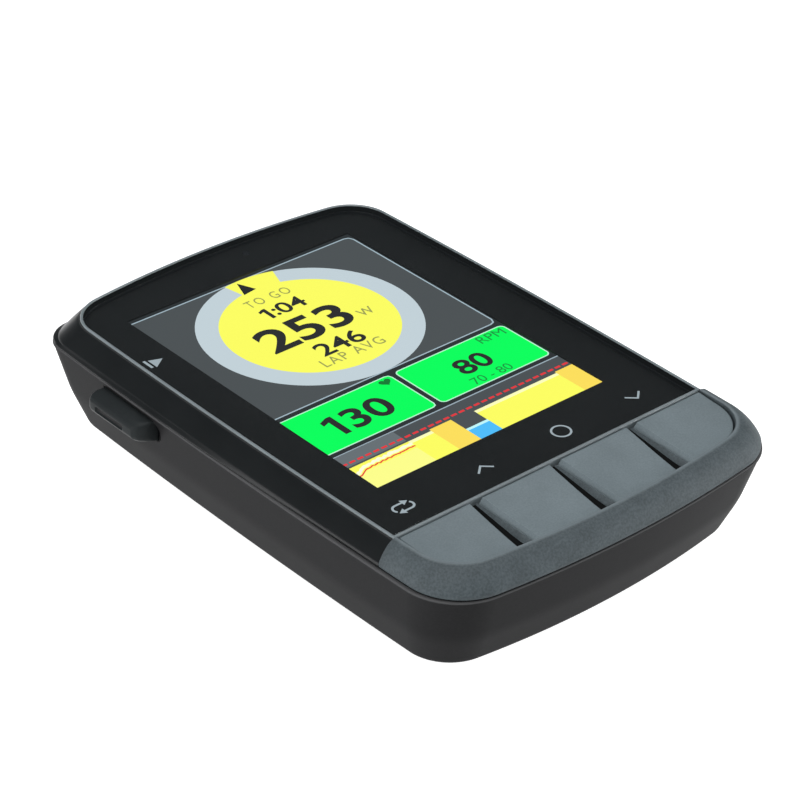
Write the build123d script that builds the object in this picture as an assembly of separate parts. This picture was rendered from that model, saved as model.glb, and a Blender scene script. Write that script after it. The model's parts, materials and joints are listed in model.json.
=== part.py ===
"""Handlebar cycling computer: a slim sealed case with a flush cover lens, a colour display, four
elastomer keys across the lower end, one side button, a charging port door and a quarter-turn mount.

Frame: millimetres, +Z out of the display, +Y towards the top of the display, +X to the rider's right.
Origin: centre of the quarter-turn mount's outer face, which is also the face the device rests on.
"""
import math
import os

from build123d import *

os.makedirs("parts", exist_ok=True)

# ------------------------------------------------------------------ driving dimensions (mm)
Z_RIM = 17.3          # top of the bezel ring
Z_WIDE = 15.1         # height where the key band is widest
Z_BAND = 14.8         # lower edge of the key band
Z_SEAM = 14.5         # parting plane between front and rear case
Z_MID = 9.5
Z_BACK = 4.0          # outer face of the rear case
FLOOR = 5.6           # inside floor of the rear case

# (half width, y top, y bottom, top sagitta, bottom sagitta, side bow, top corner radius, bottom corner radius)
BASE = (21.90, 34.78, -33.80, 1.95, 1.85, 0.48, 5.5, 5.6)
BAND_MID = (22.95, 35.25, -35.10, 1.95, 1.9, 0.48, 5.2, 6.2)
BAND_LOW = (23.80, 35.70, -36.05, 1.95, 1.95, 0.50, 4.6, 6.8)
LIP = (24.20, 36.20, -36.05, 1.9, 1.95, 0.60, 3.9, 7.0)
MID = (23.30, 35.20, -34.55, 1.84, 2.05, 0.48, 5.4, 6.9)
BACK = (21.60, 33.85, -32.40, 1.7, 2.05, 0.50, 4.8, 5.4)
CAV_TOP = (22.05, 33.85, -33.60, 2.0, 1.9, 0.45, 4.3, 4.9)
CAV_LOW = (20.30, 32.20, -30.90, 1.3, 1.9, 0.30, 3.9, 4.3)

CREST = 0.40          # width of the crest round the keys
RING_OUT, RING_IN = 0.03, 0.62
GLASS_IN = 0.69
Y_SPLIT = -23.75      # line where the black case ends and the key band begins
Y_BAR = (-23.70, -23.26)
GLASS_T = 0.57
Z_GLASS = 17.22
MASK_T = 0.20
Z_LEDGE = Z_GLASS - GLASS_T - MASK_T
WINDOW = (16.50, -15.44, 30.00)       # half width, y low, y high
SENSOR = (3.2, 31.7)

ACTIVE_W, ACTIVE_H = 33.5, 44.7       # 2.2 inch, 3:4 display
LCD = (17.95, -19.75, 31.00)
Z_LCD = 15.40
LCD_T, LIGHT_T, CHASSIS_T = 1.30, 1.00, 0.50
PCB_TOP, PCB_T = 11.40, 1.00

KEY_DIV = (-10.93, 0.0, 10.93)
KEY_TRAVEL = 0.60
KEY_TOP_Z, KEY_SLOPE = 17.20, 3.2     # height at the lens side, degrees downhill to the lower end
KEY_Y = -28.4
KEY_X = (-16.6, -5.75, 5.15, 16.35)   # plunger centres
PLUNGER_R = 1.5
GAP = 0.15

BTN_Y, BTN_Z = 17.4, 12.45
BTN_LEN, BTN_H = 8.8, 2.6
BTN_OUT, BTN_IN = -26.15, -23.25
BTN_TRAVEL = 0.60

HUB_R, TAB_R = 12.8, 15.3
TAB_T, TAB_DEG = 1.9, 62.0
FLANGE_R, FLANGE_T = 16.5, 0.8
MOUNT_SCREW_R = 9.0

SEAL_T = 0.45
CASE_SCREWS = [(-19.4, 22.0), (19.4, 22.0), (-10.93, -27.5), (10.93, -27.5)]

DOOR_Y, DOOR_Z = -18.5, 8.8
DOOR_TILT = 15.0
DOOR_L, DOOR_H, DOOR_T = 13.4, 5.4, 1.20
USB_W, USB_H, USB_D = 9.0, 3.2, 7.3
USB_X1 = 21.10


# ------------------------------------------------------------------ helpers
def outline(p, z=0.0):
    """Rounded case outline: four shallow arcs joined by corner radii, as a face at height z."""
    hw, yt, yb, st, sb, bow, rt, rb = p
    xc = hw - bow
    tr, tl, bl, br = (xc, yt - st), (-xc, yt - st), (-xc, yb + sb), (xc, yb + sb)
    ym = (yt + yb) / 2
    w = Wire([ThreePointArc(tr, (0, yt), tl), ThreePointArc(tl, (-hw, ym), bl),
              ThreePointArc(bl, (0, yb), br), ThreePointArc(br, (hw, ym), tr)])
    f = Face(w)
    f = f.fillet_2d(rt, [v for v in f.vertices() if v.Y > 0])
    f = f.fillet_2d(rb, [v for v in f.vertices() if abs(v.Y - (yb + sb)) < 1e-3])
    return Pos(0, 0, z) * f


def grow(p, d):
    """The same outline, moved outwards by d."""
    hw, yt, yb, st, sb, bow, rt, rb = p
    return (hw + d, yt + d, yb - d, st, sb, bow, rt + d, rb + d)


def prism(p, z0, z1):
    return extrude(outline(p, z0), z1 - z0)


def tub(levels, ruled=True):
    return loft([outline(p, z) for p, z in levels], ruled=ruled)


def box(x0, x1, y0, y1, z0, z1):
    return Pos((x0 + x1) / 2, (y0 + y1) / 2, (z0 + z1) / 2) * Box(x1 - x0, y1 - y0, z1 - z0)


def rod(x, y, z0, z1, r):
    return Pos(x, y, (z0 + z1) / 2) * Cylinder(r, z1 - z0)


def rbox(x0, x1, y0, y1, z0, z1, r):
    """Box with its upright edges rounded."""
    return fillet(box(x0, x1, y0, y1, z0, z1).edges().filter_by(Axis.Z), r)


def soften(s, edges, r, kind=fillet):
    """Fillet that keeps the solid as it is where the radius doesn't fit."""
    for k in (1.0, 0.7, 0.45):
        try:
            t = kind(edges, r * k)
            if t.is_valid and abs(t.volume - s.volume) < 0.25 * s.volume:
                return t
        except Exception:
            continue
    return s


NODES = {}


def node(name, shape):
    NODES[name] = shape
    print("node", name, len(shape.solids()), flush=True)
    return shape


# ------------------------------------------------------------------ upper shell envelope
upper = tub([(BASE, Z_RIM), (BAND_MID, 16.2), (BAND_LOW, Z_WIDE), (LIP, Z_SEAM)])

# key zone, as a plan region
big = 60


def key_region(d, z0, z1, y_top=Y_SPLIT):
    s = prism(grow(BASE, -CREST + d), z0, z1)
    return s & box(-big, big, -big, y_top, z0 - 1, z1 + 1)


# ------------------------------------------------------------------ keypad bezel (band round the keys)
bezel = upper & box(-big, big, -big, Y_SPLIT, Z_BAND, big)
bezel -= key_region(0, 15.45, 20, Y_SPLIT + 1)
bezel -= key_region(0.55, 14, 15.45, Y_SPLIT + 1)


def key_poly(i, d=0.0, gap=0.0):
    """Plan of key i as a polygon wider than the zone at its outer sides, grown by d. The groove between
    two keys is a wedge: narrow beside the lens and wide at the lower end."""
    y0, y1 = Y_SPLIT - GAP + (d if d < 0 else 0), -40.0
    xl_t = xl_b = -40.0 if i == 0 else KEY_DIV[i - 1] + 0.55 - d
    xr_t = 40.0 if i == 3 else KEY_DIV[i] - 0.50 + d
    xr_b = 40.0 if i == 3 else KEY_DIV[i] - 1.65 - 0.60 + d
    return make_face(Polyline((xl_t, y0), (xr_t, y0), (xr_b, y1), (xl_b, y1), close=True))


# ribs between the keys stand in for the groove floors
for i, xd in enumerate(KEY_DIV):
    f = make_face(Polyline((xd - 0.50 + GAP, Y_SPLIT - 0.06), (xd + 0.55 - GAP, Y_SPLIT - 0.06),
                           (xd + 0.55 - GAP, -34.3), (xd - 1.76 + GAP, -34.3), close=True))
    rib = Pos(0, 0, 15.45) * extrude(f, 0.60)
    bezel += rib & (upper & box(-big, big, -big, Y_SPLIT, Z_BAND, big))
bezel = bezel.solids().sort_by(SortBy.VOLUME)[-1]
bezel = soften(bezel, bezel.edges().filter_by(lambda e: e.center().Z > Z_RIM - 0.01 and e.length > 30), 0.12)
node("keypad_bezel", bezel)

# ------------------------------------------------------------------ four keys
KEY_NAMES = ["key_lap", "key_up", "key_select", "key_down"]
centres = [-16.6, -5.9, 5.0, 16.2]
for i, name in enumerate(KEY_NAMES):
    block = extrude(Pos(0, 0, 15.40) * key_poly(i), 3.0) & key_region(-GAP, 15.40, 18.4, Y_SPLIT - GAP)
    # dished top: a long shallow trough that runs downhill towards the lower end
    R = 62.0
    c = Cylinder(R, 60)
    trough = (Pos(centres[i], Y_SPLIT, KEY_TOP_Z - 0.14) * Rot(KEY_SLOPE, 0, 0) * Pos(0, 0, R) * Rot(90, 0, 0)) * c
    block -= trough
    block = block.solids().sort_by(SortBy.VOLUME)[-1]
    top_edges = [e for e in block.edges() if e.center().Z > 16.2 and abs(e.bounding_box().size.Z) < 1.1
                 and not (e.bounding_box().size.X < 0.02 and e.bounding_box().size.Y < 0.02)]
    block = soften(block, top_edges, 0.18)
    flange = extrude(Pos(0, 0, 14.90) * key_poly(i, 0.33), 0.50) & key_region(0.12, 14.90, 15.40, Y_SPLIT - GAP)
    key = block + flange + rod(KEY_X[i], KEY_Y, 13.62, 15.0, PLUNGER_R)
    node(name, key)

# ------------------------------------------------------------------ front case
front = upper & box(-big, big, Y_SPLIT, big, Z_SEAM, big)
front += upper & box(-big, big, -big, Y_SPLIT + 1, Z_SEAM, Z_BAND)
tray = prism((21.45, 30, -33.0, 2, 1.9, 0.45, 4.0, 4.6), 13.20, Z_SEAM) & box(-big, big, -big, -20.15, 0, big)
# seat for the lens stack, with the bezel ring outside it
ring_seat = prism(grow(BASE, -RING_OUT), Z_LEDGE, 20) & box(-big, big, Y_BAR[0], big, 0, big)
front -= ring_seat
# display pocket from below and the window through the ledge
hw, y0, y1 = LCD
front -= box(-hw - 0.2, hw + 0.2, y0 - 0.2, y1 + 0.2, 10, 15.70)
front -= rbox(-WINDOW[0] - 0.45, WINDOW[0] + 0.45, WINDOW[1] - 0.45, WINDOW[2] + 0.25, 15, 18, 0.8)
front -= box(SENSOR[0] - 1.2, SENSOR[0] + 1.2, SENSOR[1] - 1.0, SENSOR[1] + 0.95, 14, 17)
front -= box(-7.4, 7.4, y0 - 0.60, y0, 10, 14.80)      # way down for the display's flat cable
tray -= box(-hw - 0.2, hw + 0.2, y0 - 0.2, y1, 10, 15.70)
tray -= box(-7.4, 7.4, y0 - 0.60, y0, 10, 14.80)
# room for the key flanges, and a guide hole for each plunger
front -= key_region(0.55, 14.20, 16, Y_SPLIT)
tray -= key_region(0.55, 14.20, 16, Y_SPLIT)
for x in KEY_X:
    tray -= rod(x, KEY_Y, 12, 15, 2.15)
    tray -= rod(x, KEY_Y, 13.45, 15, 2.65)
# screw posts
for x, y in CASE_SCREWS:
    if y > 0:
        front += rod(x, y, PCB_TOP, 14.6, 1.30)
        front -= rod(x, y, 10, 14.3, 0.70)
    else:
        tray += rod(x, y, PCB_TOP, 13.3, 1.6)
        tray -= rod(x, y, 10, 13.9, 0.70)
node("front_case", front.solids().sort_by(SortBy.VOLUME)[-1])
node("key_tray", tray.solids().sort_by(SortBy.VOLUME)[-1])

# ------------------------------------------------------------------ bezel ring, lens, mask
ring = (prism(grow(BASE, -RING_OUT), Z_LEDGE, Z_RIM) & box(-big, big, Y_BAR[0], big, 0, big))
ring -= prism(grow(BASE, -RING_IN), 15, 20) & box(-big, big, Y_BAR[1], big, 0, big)
ring = soften(ring, ring.edges().filter_by(lambda e: e.center().Z > Z_RIM - 0.01), 0.12)
node("bezel_ring", ring)

lens_plan = lambda z0, z1: prism(grow(BASE, -GLASS_IN), z0, z1) & box(-big, big, Y_BAR[1] + 0.07, big, 0, big)
glass = lens_plan(Z_GLASS - GLASS_T, Z_GLASS)
glass = soften(glass, glass.edges().filter_by(lambda e: e.center().Z > Z_GLASS - 0.01), 0.12, chamfer)
node("cover_glass", glass)
mask = lens_plan(Z_LEDGE, Z_LEDGE + MASK_T)
mask -= rbox(-WINDOW[0], WINDOW[0], WINDOW[1], WINDOW[2], 15, 18, 0.5)
mask -= rod(SENSOR[0], SENSOR[1], 15, 18, 0.45)
node("lens_mask", mask)

# ------------------------------------------------------------------ display stack
node("display_gasket", box(-hw, hw, y0, y1, Z_LCD, 15.70) - box(-17.1, 17.1, -15.7, 29.9, 15, 16))
node("lcd_panel", box(-hw, hw, y0, y1, Z_LCD - LCD_T, Z_LCD))
zb = Z_LCD - LCD_T
node("backlight_unit", box(-17.2, 17.2, -17.2, 30.3, zb - LIGHT_T, zb))
zc = zb - LIGHT_T
chassis = box(-hw, hw, y0, y1, zc - CHASSIS_T, zb) - box(-17.25, 17.25, -17.25, 30.35, zc, zb + 1)
chassis -= box(-12, 12, -8, 22, zc - 1, zc)         # lightening window over the chip shields
node("display_chassis", chassis)
fx0, fx1 = -7.0, 7.0
zf = Z_LCD - LCD_T + 0.35
path = [(y0 + 0.0, zf), (y0 - 0.28, zf), (y0 - 0.28, 11.85), (-14.15, 11.85), (-14.15, 11.73),
        (y0 - 0.40, 11.73), (y0 - 0.40, zf + 0.12), (y0 + 0.0, zf + 0.12)]
flex = extrude(Plane.YZ * make_face(Polyline(*path, close=True)), 14.0)
flex = Pos(-7.0, 0, 0) * flex
node("display_flex", flex)
node("flex_connector", box(-7.8, 7.8, -14.15, -11.4, PCB_TOP, PCB_TOP + 0.9))
node("light_sensor", box(SENSOR[0] - 1.0, SENSOR[0] + 1.0, SENSOR[1] - 0.8, SENSOR[1] + 0.8, 15.75, 16.40))

# ------------------------------------------------------------------ rear case
rear = tub([(LIP, Z_SEAM), (MID, Z_MID), (BACK, Z_BACK)])
rear = soften(rear, rear.edges().filter_by(lambda e: abs(e.center().Z - Z_BACK) < 0.01), 0.6)
rear -= tub([(CAV_TOP, 14.6), (CAV_LOW, FLOOR)])
# groove for the case seal
rear -= prism(grow(CAV_TOP, 1.12), Z_SEAM - SEAL_T, 15) - prism(grow(CAV_TOP, 0.42), Z_SEAM - SEAL_T, 15)
# columns that carry the board and the case screws
inner_lim = tub([(grow(CAV_TOP, 0.3), 14.6), (grow(CAV_LOW, 0.3), FLOOR - 0.3)])
for x, y in CASE_SCREWS:
    rear += rod(x, y, FLOOR - 0.2, PCB_TOP - PCB_T, 1.70) & inner_lim
for x, y in CASE_SCREWS:
    rear -= rod(x, y, 3, 5.9, 1.32)
    rear -= rod(x, y, 3, 12, 0.75)
# seat for the mount insert, with a boss behind each of its screws
rear -= rod(0, 0, 3, Z_BACK + FLANGE_T, FLANGE_R + 0.06)
MOUNT_SCREWS = [(MOUNT_SCREW_R * math.cos(math.radians(a)), MOUNT_SCREW_R * math.sin(math.radians(a))) for a in (45, 135, 225, 315)]
for x, y in MOUNT_SCREWS:
    rear += rod(x, y, FLOOR - 0.2, 6.7, 1.7)
for x, y in MOUNT_SCREWS:
    rear -= rod(x, y, 3, 6.3, 0.82)
# side button pocket, opening and stem bore
pocket = Pos(BTN_IN + 0.70 - 5, BTN_Y, BTN_Z) * Box(10, BTN_LEN + 0.3, BTN_H + 0.24)
pocket = fillet(pocket.edges().filter_by(Axis.X), 0.85)
rear -= pocket
scoop = Pos(-25.7, BTN_Y + 1.4, BTN_Z - 0.55) * Box(4.5, BTN_LEN + 5.8, BTN_H + 0.9)
rear -= soften(scoop, scoop.edges().filter_by(Axis.X), 1.25)
stem_dir = Pos(-22, BTN_Y, BTN_Z - 0.2) * Rot(0, 90, 0)
rear -= stem_dir * Cylinder(1.04, 12)
rear -= Pos(-22.10, BTN_Y, BTN_Z - 0.2) * Rot(0, 90, 0) * Cylinder(1.55, 0.52)   # seal seat
# sound and pressure port
rear -= rod(5.0, -26.0, 3, 6.5, 0.5)
rear -= rod(5.0, -26.0, 5.3, 6.5, 1.9)


# charging port: recess for the door, opening through the wall, hinge pin bores
def outward(s):
    """From the door's own frame (x outwards from the wall's outer face, y along the case, z up) to the case."""
    return Pos(22.98, DOOR_Y, DOOR_Z) * Rot(0, DOOR_TILT, 0) * s


def lbox(x0, x1, y0, y1, z0, z1):
    return outward(box(x0, x1, y0, y1, z0, z1))


hy = DOOR_L / 2 - 0.60                       # hinge line
rec = box(-DOOR_T - 0.08, 4, -DOOR_L / 2 - 0.14, DOOR_L / 2 + 0.14, -DOOR_H / 2 - 0.12, DOOR_H / 2 + 0.12)
rec = soften(rec, rec.edges().filter_by(Axis.X), 0.5)
rear -= outward(rec)
pull = outward(Pos(0.35, -DOOR_L / 2 - 0.5, 0) * Sphere(0.95))
rear -= pull
rear -= box(18, 24, DOOR_Y - 4.65, DOOR_Y + 4.65, DOOR_Z - 1.75, DOOR_Z + 1.75)
pin_len = DOOR_H + 1.6
rear -= outward(Pos(-DOOR_T / 2, hy, 0) * Cylinder(0.45, pin_len))
rear = rear.solids().sort_by(SortBy.VOLUME)[-1]
node("rear_case", rear)
node("usb_door_pin", outward(Pos(-DOOR_T / 2, hy, 0) * Cylinder(0.44, pin_len - 0.04)))

door = box(-DOOR_T, 0, -DOOR_L / 2 + 0.02, hy, -DOOR_H / 2, DOOR_H / 2)
door = soften(door, door.edges().filter_by(lambda e: abs(e.center().Y + DOOR_L / 2 - 0.02) < 0.01 and abs(e.center().X + DOOR_T / 2) < 0.01), 0.45)
door += Pos(-DOOR_T / 2, hy, 0) * Cylinder(DOOR_T / 2, DOOR_H)
door -= Pos(-DOOR_T / 2, hy, 0) * Cylinder(0.50, DOOR_H + 2)
plug = box(-DOOR_T - 0.55, -DOOR_T + 0.05, -4.25, 4.25, -1.30, 1.30)
plug = soften(plug, plug.edges().filter_by(Axis.X), 0.8)
door += plug
door -= Pos(0.30, -DOOR_L / 2 + 0.9, 0) * Rot(0, 90, 0) * Cylinder(0.9, 1.0)   # finger nick
node("usb_door", outward(door))
usb_open = rbox(0, 1, 0, 1, 0, 1, 0.2)
shell = Pos(USB_X1 - USB_D / 2, DOOR_Y, DOOR_Z) * Box(USB_D, USB_W, USB_H)
shell = fillet(shell.edges().filter_by(Axis.X), 1.25)
mouth = Pos(USB_X1 - 2.95, DOOR_Y, DOOR_Z) * Box(6.1, USB_W - 0.7, USB_H - 0.64)
mouth = fillet(mouth.edges().filter_by(Axis.X), 1.0)
shell -= mouth
shell += box(USB_X1 - 6.2, USB_X1 - 1.0, DOOR_Y - 3.3, DOOR_Y + 3.3, DOOR_Z - 0.35, DOOR_Z + 0.35)   # tongue
node("usb_connector", shell)

# ------------------------------------------------------------------ case seal and screws
node("case_seal", prism(grow(CAV_TOP, 1.10), Z_SEAM - SEAL_T, Z_SEAM) - prism(grow(CAV_TOP, 0.44), Z_SEAM - 1, 15))
screws = []
for x, y in CASE_SCREWS:
    head = rod(x, y, 4.9, 5.9, 1.22)
    head -= Pos(x, y, 4.9) * extrude(RegularPolygon(0.55, 6), 0.5)
    screws.append(head + rod(x, y, 5.9, 13.4, 0.69))
node("case_screws", Compound(children=screws))

# ------------------------------------------------------------------ quarter-turn mount insert
hub = rod(0, 0, 0, Z_BACK, HUB_R) + rod(0, 0, Z_BACK, Z_BACK + FLANGE_T, FLANGE_R)
a = math.radians(TAB_DEG / 2)
reach = 30
insert = hub
for s in (1, -1):
    wedge = make_face(Polyline((s * 4, s * 4 * math.tan(a)), (s * 4, -s * 4 * math.tan(a)), (s * reach, -s * reach * math.tan(a)), (s * reach, s * reach * math.tan(a)), close=True))
    tab = extrude(wedge, TAB_T) & rod(0, 0, 0, TAB_T, TAB_R)
    outer = [e for e in tab.edges().filter_by(Axis.Z) if abs(e.center().X) > 8]
    insert += soften(tab, outer, 0.6)
insert -= rod(0, 0, -1, 0.7, 5.4) - rod(0, 0, -1, 0.7, 3.2)     # ring groove round the centre
for x, y in MOUNT_SCREWS:
    insert -= rod(x, y, -1, 2.2, 1.95)
    insert -= rod(x, y, -1, 6, 0.85)
for s in (1, -1):                             # click notch in each tab's rim
    insert -= rod(s * (TAB_R + 0.35), 0, -1, TAB_T, 0.8)
insert = soften(insert, insert.edges().filter_by(lambda e: abs(e.center().Z) < 0.01 and e.length > 12), 0.3, chamfer)
node("mount_insert", insert)
ms = []
for x, y in MOUNT_SCREWS:
    head = rod(x, y, 1.1, 2.2, 1.8)
    head -= Pos(x, y, 1.1) * extrude(RegularPolygon(0.75, 6), 0.6)
    ms.append(head + rod(x, y, 2.2, 6.2, 0.80))
node("mount_screws", Compound(children=ms))

# ------------------------------------------------------------------ board and what is on it
pcb = prism((20.75, 32.4, -31.4, 1.6, 1.9, 0.40, 3.9, 4.4), PCB_TOP - PCB_T, PCB_TOP)
for x, y in CASE_SCREWS:
    pcb -= rod(x, y, 9, 13, 0.80)
pcb -= box(-22, -19.3, BTN_Y - 3.6, BTN_Y + 3.0, 9, 13)     # room beside the side switch's stem
node("main_pcb", pcb)
node("processor_shield", rbox(-9.5, 4.5, -4.0, 10.0, PCB_TOP, PCB_TOP + 0.95, 0.6))
node("radio_shield", rbox(6.5, 15.5, 1.0, 10.0, PCB_TOP, PCB_TOP + 0.95, 0.6))
chips = [box(-8.5, -3.5, 12.5, 18.5, PCB_TOP, PCB_TOP + 0.85), box(-1.5, 3.0, 12.5, 17.0, PCB_TOP, PCB_TOP + 0.8),
         box(6.5, 10.5, 13.0, 16.0, PCB_TOP, PCB_TOP + 0.75), box(-15.5, -12.0, 0.0, 3.5, PCB_TOP, PCB_TOP + 0.9),
         box(-15.0, -12.5, 6.0, 8.0, PCB_TOP, PCB_TOP + 0.7), box(12.5, 15.0, 13.0, 14.6, PCB_TOP, PCB_TOP + 0.6),
         box(-15.5, -11.5, -18.4, -15.8, PCB_TOP - PCB_T - 1.3, PCB_TOP - PCB_T), box(4.0, 7.5, -21.5, -18.5, PCB_TOP - PCB_T - 1.1, PCB_TOP - PCB_T)]
node("pcb_components", Compound(children=chips))
node("gps_antenna", rbox(-9.0, 9.0, 31.15 - 0.0, 32.15, PCB_TOP, 14.2, 0.3))
node("battery", fillet(box(-16.8, 16.8, -13.0, 27.0, 6.8, 10.1).edges().filter_by(Axis.Y), 1.2))
foam = box(-15.5, 15.5, -12.0, 26.0, FLOOR, 6.8)
for x, y in MOUNT_SCREWS:
    foam -= rod(x, y, 5, 7, 1.9)
node("battery_foam", foam)
node("battery_connector", box(-8.2, -3.8, -18.6, -15.6, PCB_TOP - PCB_T - 2.0, PCB_TOP - PCB_T))
leads = []
for dx in (-0.8, 0.8):
    p = FilletPolyline((-6 + dx, -13.0, 8.2), (-6 + dx, -14.0, 8.2), (-6 + dx, -14.6, 9.0), (-6 + dx, -15.6, 9.0), radius=0.55)
    leads.append(sweep(Plane(origin=p @ 0, z_dir=p % 0) * Circle(0.45), path=p))
node("battery_leads", Compound(children=leads))
node("buzzer", rod(-14.8, -22.8, PCB_TOP - PCB_T - 2.4, PCB_TOP - PCB_T, 3.2) - rod(-14.8, -22.8, 7, 8.6, 0.5))
node("pressure_sensor", box(7.8, 10.2, -24.0, -21.8, PCB_TOP - PCB_T - 0.9, PCB_TOP - PCB_T))
node("vent_membrane", rod(5.0, -26.0, 5.3, FLOOR, 1.85))

sw = []
for x in KEY_X:
    sw.append(box(x - 2.1, x + 2.1, KEY_Y - 1.6, KEY_Y + 1.6, PCB_TOP, PCB_TOP + 1.1) + rod(x, KEY_Y, PCB_TOP + 1.1, 12.98, 0.9))
node("key_switches", Compound(children=sw))
seals = []
for x in KEY_X:
    seals.append(rod(x, KEY_Y, 13.45, 13.60 + 0.55, 2.62) - rod(x, KEY_Y, 13, 15, PLUNGER_R + 0.03))
node("key_seals", Compound(children=seals))

# ------------------------------------------------------------------ side button
zs = BTN_Z - 0.2
cap = Pos((BTN_OUT + BTN_IN) / 2, BTN_Y, BTN_Z) * Box(BTN_IN - BTN_OUT, BTN_LEN, BTN_H)
cap = fillet(cap.edges().filter_by(Axis.X), 0.75)
outer = cap.faces().sort_by(Axis.X)[0].edges()
cap = soften(cap, outer, 0.55)
inset = Pos(BTN_OUT, BTN_Y + 0.9, BTN_Z - 0.15) * Box(0.5, 5.2, 1.15)
cap -= fillet(inset.edges().filter_by(Axis.X), 0.3)
stem = Pos((BTN_IN - 20.72) / 2 - 0.05, BTN_Y, zs) * Rot(0, 90, 0) * Cylinder(1.0, 20.72 * -1 - BTN_IN + 0.1)
btn = cap + stem
groove_x = -21.05
btn -= (Pos(groove_x, BTN_Y, zs) * Rot(0, 90, 0) * (Cylinder(1.5, 0.34) - Cylinder(0.70, 0.34)))
node("side_button", btn)
clip = Pos(groove_x, BTN_Y, zs) * Rot(0, 90, 0) * (Cylinder(1.45, 0.25) - Cylinder(0.72, 0.25))
clip -= Pos(groove_x, BTN_Y, zs - 1.5) * Box(1, 1.0, 1.6)
node("side_button_clip", clip.solids().sort_by(SortBy.VOLUME)[-1])
node("side_button_seal", Pos(-22.10, BTN_Y, zs) * Rot(0, 90, 0) * (Cylinder(1.53, 0.50) - Cylinder(1.02, 0.50)))
node("side_switch", box(-19.25, -16.6, BTN_Y - 2.2, BTN_Y + 2.2, PCB_TOP, PCB_TOP + 1.15) + Pos(-19.6, BTN_Y, zs - 0.3) * Rot(0, 90, 0) * Cylinder(0.45, 0.9))

# ------------------------------------------------------------------ write
for name, s in NODES.items():
    sol = s.solids()
    out = sol[0] if len(sol) == 1 else Compound(children=list(sol))
    export_step(out, f"parts/{name}.step")
    print(name, len(sol), round(sum(x.volume for x in sol), 2), all(x.is_valid for x in sol))
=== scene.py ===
import json
import math

import bmesh
import bpy
import numpy as np
from mathutils import Matrix, Vector


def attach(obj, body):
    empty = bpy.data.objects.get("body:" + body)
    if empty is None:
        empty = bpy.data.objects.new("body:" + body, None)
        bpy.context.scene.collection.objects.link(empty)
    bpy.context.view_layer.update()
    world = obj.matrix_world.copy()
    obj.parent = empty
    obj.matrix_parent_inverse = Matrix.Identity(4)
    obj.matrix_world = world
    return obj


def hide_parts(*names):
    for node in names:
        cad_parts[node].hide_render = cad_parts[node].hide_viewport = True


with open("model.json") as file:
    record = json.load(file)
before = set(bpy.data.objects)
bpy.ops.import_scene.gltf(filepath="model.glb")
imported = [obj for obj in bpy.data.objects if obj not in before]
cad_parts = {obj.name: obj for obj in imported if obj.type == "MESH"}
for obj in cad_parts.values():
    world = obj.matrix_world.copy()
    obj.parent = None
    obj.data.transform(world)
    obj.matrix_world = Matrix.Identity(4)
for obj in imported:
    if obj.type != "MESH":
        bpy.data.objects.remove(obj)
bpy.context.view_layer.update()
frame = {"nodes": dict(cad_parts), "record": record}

MM = 0.001
COL = bpy.context.scene.collection

# ------------------------------------------------------------------ case levels, in millimetres
# (half width, y top, y bottom, top sagitta, bottom sagitta, side bow, top corner radius, bottom corner radius)
BASE = (21.90, 34.78, -33.80, 1.95, 1.85, 0.48, 5.5, 5.6)
BAND_LOW = (23.80, 35.70, -36.02, 1.95, 1.95, 0.50, 4.6, 6.8)
LIP = (24.19, 36.18, -36.03, 1.9, 1.95, 0.60, 3.9, 7.0)
MID = (23.30, 35.20, -34.55, 1.84, 2.05, 0.48, 5.4, 6.9)
BACK = (21.60, 33.85, -32.40, 1.7, 2.05, 0.50, 4.8, 5.4)
CAV_TOP = (22.05, 33.85, -33.60, 2.0, 1.9, 0.45, 4.3, 4.9)
CAV_LOW = (20.30, 32.20, -30.90, 1.3, 1.9, 0.30, 3.9, 4.3)
Z_RIM, Z_WIDE, Z_BAND, Z_SEAM, Z_MID, Z_BACK = 17.3, 15.1, 14.8, 14.5, 9.5, 4.0
Y_SPLIT = -23.92
Y_BAR = (-23.84, -23.42)
Z_MASK, Z_LCD = 16.10, 15.40
WINDOW = (15.98, -14.78, 28.61)
KEY_X = (-16.6, -5.75, 5.15, 16.35)
KEY_Y = -28.4


# ------------------------------------------------------------------ outlines
def circ3(a, b, c):
    ax, ay = a; bx, by = b; cx, cy = c
    d = 2 * (ax * (by - cy) + bx * (cy - ay) + cx * (ay - by))
    ux = ((ax * ax + ay * ay) * (by - cy) + (bx * bx + by * by) * (cy - ay) + (cx * cx + cy * cy) * (ay - by)) / d
    uy = ((ax * ax + ay * ay) * (cx - bx) + (bx * bx + by * by) * (ax - cx) + (cx * cx + cy * cy) * (bx - ax)) / d
    return np.array([ux, uy]), float(np.hypot(ax - ux, ay - uy))


def meet(c1, r1, c2, r2, near):
    d = np.hypot(*(c2 - c1)); a = (r1 * r1 - r2 * r2 + d * d) / (2 * d); h = np.sqrt(max(r1 * r1 - a * a, 0))
    e = (c2 - c1) / d; p = c1 + a * e; n = np.array([-e[1], e[0]])
    return min([p + h * n, p - h * n], key=lambda k: np.hypot(*(k - near)))


def arc(c, r, p, q, n):
    a0 = np.arctan2(p[1] - c[1], p[0] - c[0]); a1 = np.arctan2(q[1] - c[1], q[0] - c[0])
    d = (a1 - a0 + np.pi) % (2 * np.pi) - np.pi
    a = a0 + d * np.linspace(0, 1, n, endpoint=False)
    return np.stack([c[0] + r * np.cos(a), c[1] + r * np.sin(a)], 1)


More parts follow.
